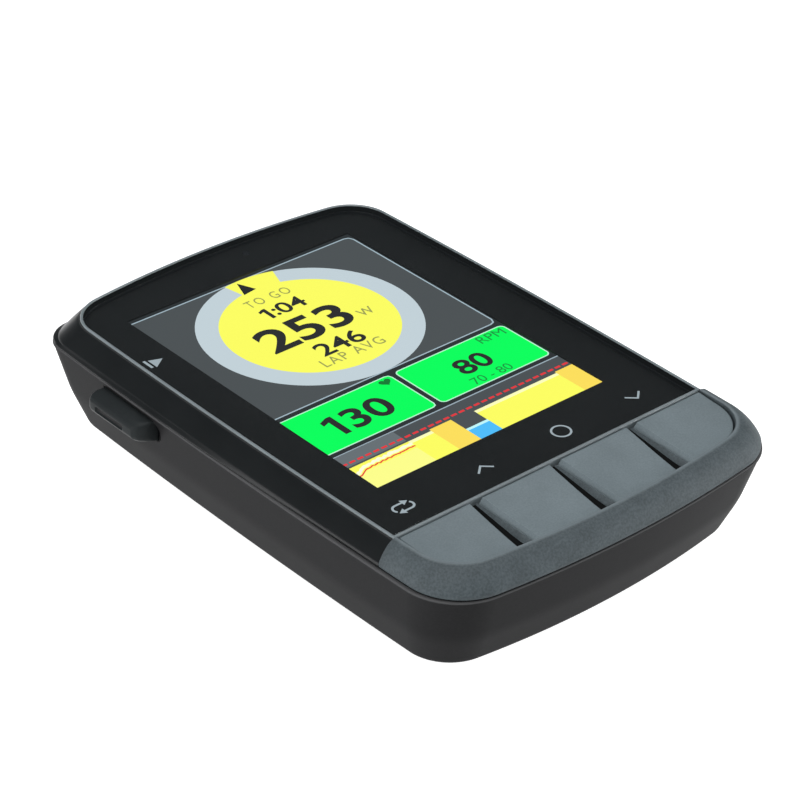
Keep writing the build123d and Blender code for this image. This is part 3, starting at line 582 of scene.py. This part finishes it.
# ------------------------------------------------------------------ lens
poly = clip_half([tuple(p) for p in outline(grow(BASE, -0.475))], (0, -1), -(Y_BAR[1] + 0.015))
lens = new_object("lens_plate", prism_bm(poly, Z_MASK + 0.02, 17.22))
add_mods(lens, ("BEVEL", {"width": 0.04 * MM, "segments": 2, "limit_method": "ANGLE", "angle_limit": math.radians(50)}))
for p in lens.data.polygons:
    p.use_smooth = False
dress(lens, "lens", stands_for=("cover_glass",))
mask = new_object("mask_print", prism_bm(clip_half([tuple(p) for p in outline(grow(BASE, -0.485))], (0, -1), -(Y_BAR[0] + 0.02)), Z_MASK - 0.16, Z_MASK))
cut(mask, new_object("tmp2", prism_bm([(-w[0], w[1]), (w[0], w[1]), (w[0], w[2]), (-w[0], w[2])], 15, 17)))
for p in mask.data.polygons:
    p.use_smooth = False
dress(mask, "mask_black", stands_for=("lens_mask",))

# ------------------------------------------------------------------ keys
ZONE = [tuple(p) for p in outline(grow(BASE, -0.56))]
DIV = [(-10.56, -11.69, -12.80), (0.31, -0.75, -1.98), (11.19, 10.25, 8.90)]      # next key's left edge; this key's right edge at the top and at y -33
CENTRE = [-16.6, -5.9, 5.0, 16.2]
KEYS = [("key_lap", "lap_key"), ("key_up", "up_key"), ("key_select", "select_key"), ("key_down", "down_key")]
Y_KEY = -24.02


def line_clip(poly, p, q):
    """Keep what lies to the left of the line from p to q."""
    n = (q[1] - p[1], -(q[0] - p[0]))
    return clip_half(poly, n, n[0] * p[0] + n[1] * p[1])


def key_poly(i, d=0.0):
    z = ZONE if d == 0 else [tuple(p) for p in outline(grow(BASE, -0.56 + d))]
    z = clip_half(z, (0, 1), Y_KEY)
    if i > 0:
        z = clip_half(z, (-1, 0), -(DIV[i - 1][0] - d))
    if i < 3:
        x0, x1 = DIV[i][1] + d, DIV[i][2] + d
        z = line_clip(z, (x1, -33.0), (x0, -24.0))
    return z


def key_top(x, y, i):
    s = min(1.2, max(0, (-24.0 - y) / 9.4))
    u = (x - CENTRE[i]) / 5.6
    dish = 0.27 * max(0.0, 1 - u * u) * max(0.0, math.sin(math.pi * min(1, s * 0.98 + 0.02))) ** 0.8
    lead = 0.0
    if i > 0:
        d = x - DIV[i - 1][0]
        if d < 0.56:
            lead = 0.58 * (1 - max(0.0, d) / 0.56)
    return -0.05 - 0.36 * s - dish - lead


for i, (node, body) in enumerate(KEYS):
    o = new_object(node + "_pad", prism_bm(key_poly(i), 15.40, 17.26))
    add_mods(o, ("BEVEL", {"width": 0.20 * MM, "segments": 4, "limit_method": "ANGLE", "angle_limit": math.radians(50)}))
    bm = bmesh.new(); bm.from_mesh(o.data)
    for k in np.linspace(-6, 6, 17)[1:-1]:
        bmesh.ops.bisect_plane(bm, geom=bm.verts[:] + bm.edges[:] + bm.faces[:], plane_co=Vector((CENTRE[i] + k, 0, 0)) * MM, plane_no=(1, 0, 0), dist=1e-8)
    for k in (0.26, 0.36, 0.46, 0.56) if i > 0 else ():
        bmesh.ops.bisect_plane(bm, geom=bm.verts[:] + bm.edges[:] + bm.faces[:], plane_co=Vector((DIV[i - 1][0] + k, 0, 0)) * MM, plane_no=(1, 0, 0), dist=1e-8)
    for k in np.linspace(-34, -24, 17)[1:-1]:
        bmesh.ops.bisect_plane(bm, geom=bm.verts[:] + bm.edges[:] + bm.faces[:], plane_co=Vector((0, k, 0)) * MM, plane_no=(0, 1, 0), dist=1e-8)
    for v in bm.verts:
        if v.co.z > 16.3 * MM:
            f = min(1.0, (v.co.z / MM - 16.3) / 0.5)
            v.co.z += f * key_top(v.co.x / MM, v.co.y / MM, i) * MM
    bm.to_mesh(o.data); bm.free()
    fl = new_object("tmp", prism_bm([p for p in clip_half(key_poly(i, 0.06), (0, 1), Y_KEY + 0.1)], 14.92, 15.46))
    pl = lathe("tmp", [(0, 13.62), (1.35, 13.62), (1.5, 13.77), (1.5, 15.2), (0, 15.2)], (KEY_X[i], KEY_Y, 0))
    cut(o, fl, "UNION")
    cut(o, pl, "UNION")
    shade(o, 42)
    dress(o, "key_grey", body=body, stands_for=(node,))

# ribs that make the groove floors between the keys, near-black as painted shade in the grooves
bm = bmesh.new()
for d in DIV:
    top = d[1] + 0.13
    lo = [(top, -24.0), (top - (d[1] - d[2]), -33.45), (d[0] - 0.13, -33.45), (d[0] - 0.13, -24.0)]
    prism_bm(lo, 15.46, 16.0, bm)
    bm.verts.ensure_lookup_table()
    for v in bm.verts[-4:]:                          # higher at the lens end, so the groove closes there
        if v.co.y > -0.025:
            v.co.z = 16.62 * MM
ribs = new_object("gap_ribs", bm)
add_mods(ribs, ("BEVEL", {"width": 0.08 * MM, "segments": 2, "limit_method": "ANGLE", "angle_limit": math.radians(50)}))
shade(ribs, 40)
dress(ribs, "painted_shade_black")
# the sloped grey flank that rises out of each groove to the next key
bm = bmesh.new()
for d in DIV:
    x0, x1 = d[0] - 0.80, d[0] - 0.12
    prism_bm([(x0, -33.35), (x1, -33.35), (x1, -24.0), (x0, -24.0)], 15.90, 16.12, bm)
    bm.verts.ensure_lookup_table()
    for v in bm.verts[-8:]:
        if v.co.x > (x0 + x1) / 2 * MM and v.co.z > 16.0 * MM:
            v.co.z = (16.56 if v.co.y < -0.03 else 16.78) * MM
        elif v.co.z > 16.0 * MM and v.co.y > -0.03:
            v.co.z = 16.34 * MM
flank = new_object("gap_flanks", bm)
add_mods(flank, ("BEVEL", {"width": 0.06 * MM, "segments": 2, "limit_method": "ANGLE", "angle_limit": math.radians(40)}))
shade(flank, 40)
dress(flank, "bezel_grey")

# ------------------------------------------------------------------ side button
prof = [(-23.22, 11.15), (-24.80, 11.15), (-25.45, 11.38), (-25.98, 11.80), (-26.14, 12.2), (-26.12, 13.10), (-25.85, 13.52), (-25.2, 13.74), (-23.22, 13.74)]
bm = bmesh.new()
ys = [12.98, 13.18, 13.55, 14.1, 17.0, 21.45, 21.9, 22.15]
ins = [1.45, 0.80, 0.30, 0.0, 0.0, 0.0, 0.10, 0.40]
rows = []
for y, k in zip(ys, ins):
    row = []
    for x, z in prof:
        xx = x + k if x < -24 else x
        row.append(bm.verts.new((xx * MM, y * MM, z * MM)))
    rows.append(row)
for a, b in zip(rows[:-1], rows[1:]):
    for i in range(len(prof)):
        j = (i + 1) % len(prof)
        bm.faces.new((a[i], a[j], b[j], b[i]))
bm.faces.new(rows[0][::-1]); bm.faces.new(rows[-1])
btn = new_object("side_button_cap", bm)
add_mods(btn, ("BEVEL", {"width": 0.22 * MM, "segments": 4, "limit_method": "ANGLE", "angle_limit": math.radians(20)}))
cut(btn, round_box("tmp", -27, -25.90, 15.7, 20.7, 12.10, 12.88, 0.22))
st = lathe("tmp", [(0, -23.5), (1.0, -23.5), (1.0, -21.22), (0.70, -21.22), (0.70, -20.88), (1.0, -20.88), (1.0, -20.80), (0.92, -20.72), (0, -20.72)], (0, 0, 0), seg=48)
st.data.transform(Matrix.Translation(Vector((0, 17.4, 12.25)) * MM) @ Matrix.Rotation(math.radians(90), 4, "Y"))
cut(btn, st, "UNION")
shade(btn, 35)
dress(btn, "button_black", body="side_push", stands_for=("side_button",))
pad = round_box("side_button_inlay", -25.93, -25.80, 15.86, 20.54, 12.24, 12.74, 0.05)
dress(pad, "button_pad", body="side_push")


# ------------------------------------------------------------------ display content: thin lit shapes on the panel
class Ui:
    def __init__(self):
        self.level = 0

    def put(self, name, polys, rgb, z, holes=False):
        bm = bmesh.new()
        t = 0.004
        for poly in polys:
            if isinstance(poly, tuple) and poly[0] == "strip":
                a, b, closed = poly[1:]
                n = len(a)
                lo = [[bm.verts.new((p[0] * MM, p[1] * MM, z * MM)) for p in k] for k in (a, b)]
                hi = [[bm.verts.new((p[0] * MM, p[1] * MM, (z + t) * MM)) for p in k] for k in (a, b)]
                for i in range(n if closed else n - 1):
                    j = (i + 1) % n
                    bm.faces.new((lo[0][i], lo[1][i], lo[1][j], lo[0][j]))
                    bm.faces.new((hi[0][i], hi[0][j], hi[1][j], hi[1][i]))
                    bm.faces.new((lo[0][i], lo[0][j], hi[0][j], hi[0][i]))
                    bm.faces.new((lo[1][j], lo[1][i], hi[1][i], hi[1][j]))
                if not closed:
                    for i in (0, n - 1):
                        bm.faces.new((lo[0][i], hi[0][i], hi[1][i], lo[1][i]))
            else:
                prism_bm(poly, z, z + t, bm)
        ob = new_object(name, bm, smooth=False)
        dress(ob, glow("glow_" + name, rgb))
        return ob


ui = Ui()


def rrect(x0, x1, y0, y1, r, n=6):
    pts = []
    for cx, cy, a0 in ((x1 - r, y0 + r, -90), (x1 - r, y1 - r, 0), (x0 + r, y1 - r, 90), (x0 + r, y0 + r, 180)):
        for k in range(n + 1):
            a = math.radians(a0 + 90 * k / n)
            pts.append((cx + r * math.cos(a), cy + r * math.sin(a)))
    return pts


def edge(x0, x1, y0, y1, r, w):
    return ("strip", rrect(x0, x1, y0, y1, r), rrect(x0 + w, x1 - w, y0 + w, y1 - w, max(0.05, r - w)), True)


def circle(cx, cy, r, n=96, a0=0, a1=360):
    m = n if a1 - a0 >= 360 else n + 1
    return [(cx + r * math.cos(math.radians(a0 + (a1 - a0) * k / n)), cy + r * math.sin(math.radians(a0 + (a1 - a0) * k / n))) for k in range(m)]


ONE = [(-0.06, 0.0), (0.17, 0.0), (0.17, 1.0), (0.0, 1.0), (-0.30, 0.88), (-0.30, 0.69), (-0.06, 0.77)]


def one(name, cx, cy, h, rgb, z):
    return ui.put(name, [[(cx + 0.06 * h + x * h * 0.95, cy + (y - 0.5) * h) for x, y in ONE]], rgb, z)


def text(name, body, cx, cy, h, width, rgb, z, weight=0.0, bodyname="case", mat=None, space=1.0):
    cu = bpy.data.curves.new(name, "FONT")
    cu.body = body; cu.size = 1; cu.offset = weight; cu.extrude = 0.05; cu.resolution_u = 6; cu.space_character = space
    o = bpy.data.objects.new("tmp_" + name, cu); COL.objects.link(o)
    dg = bpy.context.evaluated_depsgraph_get(); dg.update()
    me = bpy.data.meshes.new_from_object(o.evaluated_get(dg))
    bpy.data.objects.remove(o)
    co = np.array([v.co for v in me.vertices])
    lo, hi = co.min(0), co.max(0)
    sy = h / (hi[1] - lo[1]); sx = (width / (hi[0] - lo[0])) if width else sy
    for v in me.vertices:
        v.co = Vector(((cx + (v.co.x - (lo[0] + hi[0]) / 2) * sx) * MM, (cy + (v.co.y - (lo[1] + hi[1]) / 2) * sy) * MM, (z + (0.004 if v.co.z > 0 else 0)) * MM))
    ob = bpy.data.objects.new(name, me); COL.objects.link(ob)
    bm = bmesh.new(); bm.from_mesh(me); bmesh.ops.remove_doubles(bm, verts=bm.verts, dist=2e-8); bm.to_mesh(me); bm.free()
    dress(ob, mat or glow("glow_" + name, rgb), body=bodyname)
    return ob


L0 = Z_LCD + 0.003
Z1, Z2, Z3, Z4 = L0 + 0.006, L0 + 0.012, L0 + 0.018, L0 + 0.024
INK = (43, 44, 44)
ui.put("ui_ground", [[(-16.75, -15.25), (16.75, -15.25), (16.75, 29.45), (-16.75, 29.45)]], (45, 49, 51), L0)
ui.put("ui_card", [rrect(-17.0 + 0.25, 16.38, 2.76, 28.74, 0.9)], (77, 82, 84), Z1)
ui.put("ui_card_edge", [("strip", [(-16.75, 28.76), (15.5, 28.76), (16.1, 28.55), (16.4, 27.9), (16.4, 3.6), (16.1, 2.95), (15.5, 2.74), (-16.75, 2.74)],
                         [(-16.75, 28.58), (15.45, 28.58), (15.98, 28.4), (16.22, 27.85), (16.22, 3.65), (15.98, 3.1), (15.45, 2.92), (-16.75, 2.92)], False)], (168, 188, 198), Z2)
ui.put("ui_ring", [("strip", circle(0, 15.8, 12.92), circle(0, 15.8, 10.2), True)], (197, 211, 217), Z2)
ui.put("ui_disc", [circle(0, 15.8, 10.28)], (255, 255, 98), Z3)
ui.put("ui_sector", [("strip", circle(0, 15.8, 12.97, 20, 70.7, 100), circle(0, 15.8, 10.0, 20, 70.7, 100), False)], (255, 255, 98), Z3)
ui.put("ui_pointer", [[(-0.69, 28.38), (-1.62, 25.75), (0.28, 26.03)]], (38, 40, 41), Z4)
GREEN = (0, 255, 92)
ui.put("ui_tiles", [[(-16.75, -6.05), (-0.85, -6.05), (-0.45, -5.9), (-0.3, -5.5), (-0.3, 1.4), (-0.45, 1.8), (-0.85, 1.95), (-16.75, 1.95)], rrect(0.52, 16.32, -6.08, 1.97, 0.6)], GREEN, Z1)
ui.put("ui_tile_edges", [("strip", [(-16.75, 2.05), (-0.85, 2.05), (-0.37, 1.88), (-0.19, 1.4), (-0.19, -5.5), (-0.37, -5.98), (-0.85, -6.18), (-16.75, -6.18)],
                          [(-16.75, 1.90), (-0.9, 1.90), (-0.48, 1.78), (-0.34, 1.4), (-0.34, -5.5), (-0.48, -5.88), (-0.9, -6.02), (-16.75, -6.02)], False), edge(0.44, 16.4, -6.18, 2.05, 0.7, 0.16)], (188, 250, 215), Z2)
# graph
ui.put("ui_graph_card", [[(-16.75, -15.25), (16.75, -15.25), (16.75, -6.88), (-16.75, -6.88)]], (76, 81, 84), Z1)
ui.put("ui_graph_past", [[(-16.75, -9.2), (-7.32, -9.2), (-7.32, -6.95), (-16.75, -6.95)]], (104, 112, 116), Z2)
ui.put("ui_graph_edge", [[(-16.75, -7.0), (16.75, -7.0), (16.75, -6.83), (-16.75, -6.83)]], (160, 178, 188), Z2)
dash, x = [], -16.75
while x < 16.7:
    dash.append([(x, -8.81), (min(x + 0.76, 16.75), -8.81), (min(x + 0.76, 16.75), -8.49), (x, -8.49)])
    x += 1.08
ui.put("ui_limit", dash, (232, 56, 62), Z3)
bar = lambda a, b, t: [(a, -15.25), (b, -15.25), (b, t), (a, t)]
ui.put("ui_bars_yellow", [bar(-16.75, -4.1, -9.47), bar(1.96, 14.0, -9.47)], (255, 255, 98), Z2)
ui.put("ui_bars_done", [bar(-16.75, -7.32, -10.9)], (255, 255, 140), Z3 - 0.001)
ui.put("ui_bars_amber", [bar(-4.1, -1.07, -9.16), bar(14.0, 16.75, -9.2)], (255, 224, 92), Z3)
ui.put("ui_bar_blue", [bar(-1.07, 1.96, -11.56)], (80, 190, 250), Z3)
ui.put("ui_bar_tops", [[(-7.32, -9.95), (-4.1, -9.95), (-4.1, -9.47), (-7.32, -9.47)], [(1.96, -9.95), (14.0, -9.95), (14.0, -9.47), (1.96, -9.47)]], (255, 255, 190), Z3)
ui.put("ui_bar_top_blue", [[(-1.07, -11.95), (1.96, -11.95), (1.96, -11.56), (-1.07, -11.56)]], (196, 250, 252), Z4)
rng = np.random.RandomState(7)
xs = np.linspace(-16.75, -7.2, 40)
base = np.where(xs < -13.7, -11.35 + (xs + 15.4) / 1.7 * 0.75, -10.62 + (xs + 13.7) / 6.3 * 0.12)
base = np.clip(base, -11.9, -10.4) + rng.uniform(-0.09, 0.09, len(xs))
ui.put("ui_trace", [("strip", [(a, b + 0.10) for a, b in zip(xs, base)], [(a, b - 0.10) for a, b in zip(xs, base)], False)], (238, 62, 62), Z4)
top = base + 0.75 + rng.uniform(-0.12, 0.12, len(xs))
ui.put("ui_trace_band", [("strip", [(a, min(-9.5, c)) for a, c in zip(xs, top)], [(a, b + 0.28) for a, b in zip(xs, base)], False)], (255, 255, 222), Z4 - 0.002)
# numbers and the plain words of a dial
OLIVE = (160, 163, 88)
text("ui_label_to_go", "TO GO", 0.05, 23.6, 1.55, 6.1, OLIVE, Z4, 0.004, space=1.3)
one("ui_time_a", -2.35, 20.7, 2.35, INK, Z4)
text("ui_time_b", ":", -1.16, 20.45, 1.65, None, INK, Z4, 0.020)
text("ui_time_c", "04", 1.05, 20.7, 2.4, 3.7, INK, Z4, 0.016)
text("ui_power", "253", -1.0, 15.66, 5.1, 11.9, INK, Z4, 0.022)
text("ui_unit_w", "W", 6.63, 14.1, 1.5, 2.0, OLIVE, Z4, 0.01)
text("ui_average", "246", 0, 10.66, 2.75, 6.3, INK, Z4, 0.016)
text("ui_label_average", "LAP AVG", -0.1, 8.25, 1.6, 8.6, OLIVE, Z4, 0.004, space=1.2)
one("ui_heart_rate_a", -11.35, -2.3, 3.8, INK, Z4)
text("ui_heart_rate_b", "30", -6.75, -2.3, 3.85, 5.9, INK, Z4, 0.022)
text("ui_unit_rpm", "RPM", 13.8, 0.97, 1.4, 3.7, (24, 150, 66), Z4, 0.0)
text("ui_cadence", "80", 8.4, -2.07, 3.05, 4.6, INK, Z4, 0.022)
text("ui_range", "70 - 80", 8.5, -5.04, 1.35, 5.6, (24, 150, 66), Z4, 0.0)
heart = []
for k in range(40):
    a = 2 * math.pi * k / 40
    heart.append((-1.5 + 0.75 / 16 * 16 * math.sin(a) ** 3, 1.05 + 0.75 / 17 * (13 * math.cos(a) - 5 * math.cos(2 * a) - 2 * math.cos(3 * a) - math.cos(4 * a))))
ui.put("ui_heart", [heart[::-1]], (20, 122, 52), Z4)

# ------------------------------------------------------------------ printed marks on the mask, glowing faintly as painted light
ZI = Z_MASK + 0.002


def stroke(pts, w, closed=False):
    """Even-width line along points, as a strip."""
    P = np.array(pts, float)
    n = len(P)
    a, b = [], []
    for i in range(n):
        if closed:
            d0 = P[i] - P[i - 1]; d1 = P[(i + 1) % n] - P[i]
        else:
            d0 = P[i] - P[max(0, i - 1)]; d1 = P[min(n - 1, i + 1)] - P[i]
            if i == 0: d0 = d1
            if i == n - 1: d1 = d0
        d0 = d0 / np.hypot(*d0); d1 = d1 / np.hypot(*d1)
        nn = np.array([-(d0 + d1)[1], (d0 + d1)[0]]); nn = nn / np.hypot(*nn)
        k = w / 2 / max(0.35, nn @ np.array([-d0[1], d0[0]]))
        a.append(tuple(P[i] + nn * k)); b.append(tuple(P[i] - nn * k))
    return ("strip", a, b, closed)


def marks(name, polys):
    # printed marks drawn as glowing shapes: painted light
    ob = ui.put(name, polys, (163, 176, 182), ZI)
    ob.data.materials.clear(); ob.data.materials.append(PRINT_GLOW)
    return ob


cx, cy = -16.19, -19.06
up = [(cx + 0.75, cy + 0.62)] + [(cx + 0.62 + 0.62 * math.cos(a), cy + 0.0 + 0.62 * math.sin(a)) for a in np.linspace(math.pi / 2, math.pi / 2, 1)]
loop_a = [(cx - 1.05, cy - 0.35)] + [(cx - 0.62 + 0.60 * math.cos(a), cy + 0.05 + 0.60 * math.sin(a)) for a in np.linspace(math.pi * 1.15, math.pi / 2, 8)] + [(cx + 0.55, cy + 0.65)]
loop_b = [(2 * cx - x, 2 * cy - y) for x, y in loop_a]
arr = lambda s: [(cx + s * 1.05, cy + s * 0.65), (cx + s * 0.30, cy + s * 1.12), (cx + s * 0.30, cy + s * 0.18)]
marks("mark_loop", [stroke(loop_a, 0.26), stroke(loop_b, 0.26), arr(1)[::-1], arr(-1)[::-1]])
marks("mark_up", [stroke([(-5.33 - 1.05, -19.50), (-5.33, -18.55), (-5.33 + 1.05, -19.50)], 0.24)])
marks("mark_ring", [("strip", circle(5.63, -19.06, 1.18, 48), circle(5.63, -19.06, 0.94, 48), True)])
marks("mark_down", [stroke([(16.41 - 1.05, -18.64), (16.41, -19.59), (16.41 + 1.05, -18.64)], 0.24)])
marks("mark_side", [[(-19.79, 18.76), (-19.47, 18.76), (-19.47, 20.46), (-19.79, 20.46)], [(-19.19, 18.56), (-17.63, 19.66), (-19.19, 20.26)]])
dot = lathe("sensor_window", [(0, 16.101), (0.42, 16.101), (0.42, 16.106), (0, 16.106)], (3.77, 32.36, 0), seg=32)
MAT["sensor_glass"] = plastic("sensor_glass", srgb(12, 13, 15), rough=0.2, edge_wear_and_highlight=0.0)
package = round_box("tmp", 2.75, 4.75, 31.4, 33.2, 14.95, 15.70, 0.08, 3)
dot = joined([dot, package], "sensor_window")
dress(dot, "sensor_glass", stands_for=("light_sensor",))

# ------------------------------------------------------------------ floor, lights, camera
bm = bmesh.new()
g = 24
vs = [[bm.verts.new(((i / g - 0.5) * 3.0, (j / g - 0.5) * 3.0, -0.00002)) for j in range(g + 1)] for i in range(g + 1)]
for i in range(g):
    for j in range(g):
        bm.faces.new((vs[i][j], vs[i + 1][j], vs[i + 1][j + 1], vs[i][j + 1]))
floor = new_object("floor", bm)
if floor.data.polygons[0].normal.z < 0:
    floor.data.flip_normals()
fm = bpy.data.materials.new("floor_paper"); fm.use_nodes = True
nt = fm.node_tree; N = nt.nodes; Lk = nt.links
bs = N["Principled BSDF"]; bs.inputs["Roughness"].default_value = 0.9; bs.inputs["Specular IOR Level"].default_value = 0.1
tc = N.new("ShaderNodeTexCoord"); no = N.new("ShaderNodeTexNoise"); no.inputs["Scale"].default_value = 400
rp = N.new("ShaderNodeValToRGB"); rp.color_ramp.elements[0].color = (0.38, 0.38, 0.38, 1); rp.color_ramp.elements[1].color = (0.40, 0.40, 0.40, 1)
Lk.new(tc.outputs["Object"], no.inputs["Vector"]); Lk.new(no.outputs["Fac"], rp.inputs["Fac"]); Lk.new(rp.outputs["Color"], bs.inputs["Base Color"])
bs.inputs["Emission Color"].default_value = (1, 1, 1, 1); bs.inputs["Emission Strength"].default_value = 0.97
back = N.new("ShaderNodeNewGeometry"); clear = N.new("ShaderNodeBsdfTransparent"); pick = N.new("ShaderNodeMixShader")
Lk.new(back.outputs["Backfacing"], pick.inputs["Fac"]); Lk.new(bs.outputs["BSDF"], pick.inputs[1]); Lk.new(clear.outputs["BSDF"], pick.inputs[2])
Lk.new(pick.outputs["Shader"], N["Material Output"].inputs["Surface"])
floor.data.materials.append(fm)

world = bpy.data.worlds.new("studio"); bpy.context.scene.world = world
world.use_nodes = True
nt = world.node_tree; N = nt.nodes; Lk = nt.links
bg = N["Background"]
tc = N.new("ShaderNodeTexCoord"); sep = N.new("ShaderNodeSeparateXYZ"); rp = N.new("ShaderNodeValToRGB")
Lk.new(tc.outputs["Generated"], sep.inputs["Vector"]); Lk.new(sep.outputs["Z"], rp.inputs["Fac"])
els = rp.color_ramp.elements
els[0].position = 0.0; els[0].color = (0.9, 0.9, 0.9, 1)
els[1].position = 1.0; els[1].color = (0.55, 0.58, 0.6, 1)
for p, c in ((0.06, (0.40, 0.41, 0.42, 1)), (0.22, (0.12, 0.13, 0.14, 1)), (0.72, (0.13, 0.15, 0.16, 1)), (0.90, (0.45, 0.47, 0.49, 1))):
    e = els.new(p); e.color = c
Lk.new(rp.outputs["Color"], bg.inputs["Color"]); bg.inputs["Strength"].default_value = 1.0


def area(name, loc, target, size, power, color=(1, 1, 1), size_y=None):
    l = bpy.data.lights.new(name, "AREA"); l.energy = power; l.size = size; l.color = color
    if size_y:
        l.shape = "RECTANGLE"; l.size_y = size_y
    o = bpy.data.objects.new(name, l); COL.objects.link(o)
    o.location = loc
    d = Vector(target) - Vector(loc)
    o.rotation_euler = d.to_track_quat("-Z", "Y").to_euler()
    o.visible_camera = False
    return o


area("top_soft", (0.05, 0.02, 0.60), (0, 0, 0), 0.55, 2.7)
area("upper_left_soft", (-0.30, -0.14, 0.40), (0, 0, 0), 0.20, 0.95)
area("right_soft", (0.30, -0.22, 0.035), (0.01, -0.03, 0.006), 0.18, 1.25)
area("left_soft", (-0.36, 0.09, 0.05), (0, 0, 0.008), 0.16, 0.75)

cam = bpy.data.cameras.new("camera"); cam.sensor_width = 36; cam.lens = 125.14; cam.clip_start = 0.01; cam.clip_end = 20
co = bpy.data.objects.new("camera", cam); COL.objects.link(co)
r0 = Vector((0.75977, -0.65017, 0.00561)); r1 = Vector((-0.34263, -0.40769, -0.8464)); r2 = Vector((0.55259, 0.64114, -0.53252))
M = Matrix.Identity(4)
for k, v in enumerate((r0, -r1, -r2)):
    for j in range(3):
        M[j][k] = v[j]
M.translation = Vector((-0.167344, -0.193816, 0.174214))
co.matrix_world = M
sc = bpy.context.scene
sc.camera = co
sc.view_settings.view_transform = "Standard"
sc.view_settings.look = "None"
sc.view_settings.exposure = 0
sc.view_settings.gamma = 1

bpy.context.view_layer.update()
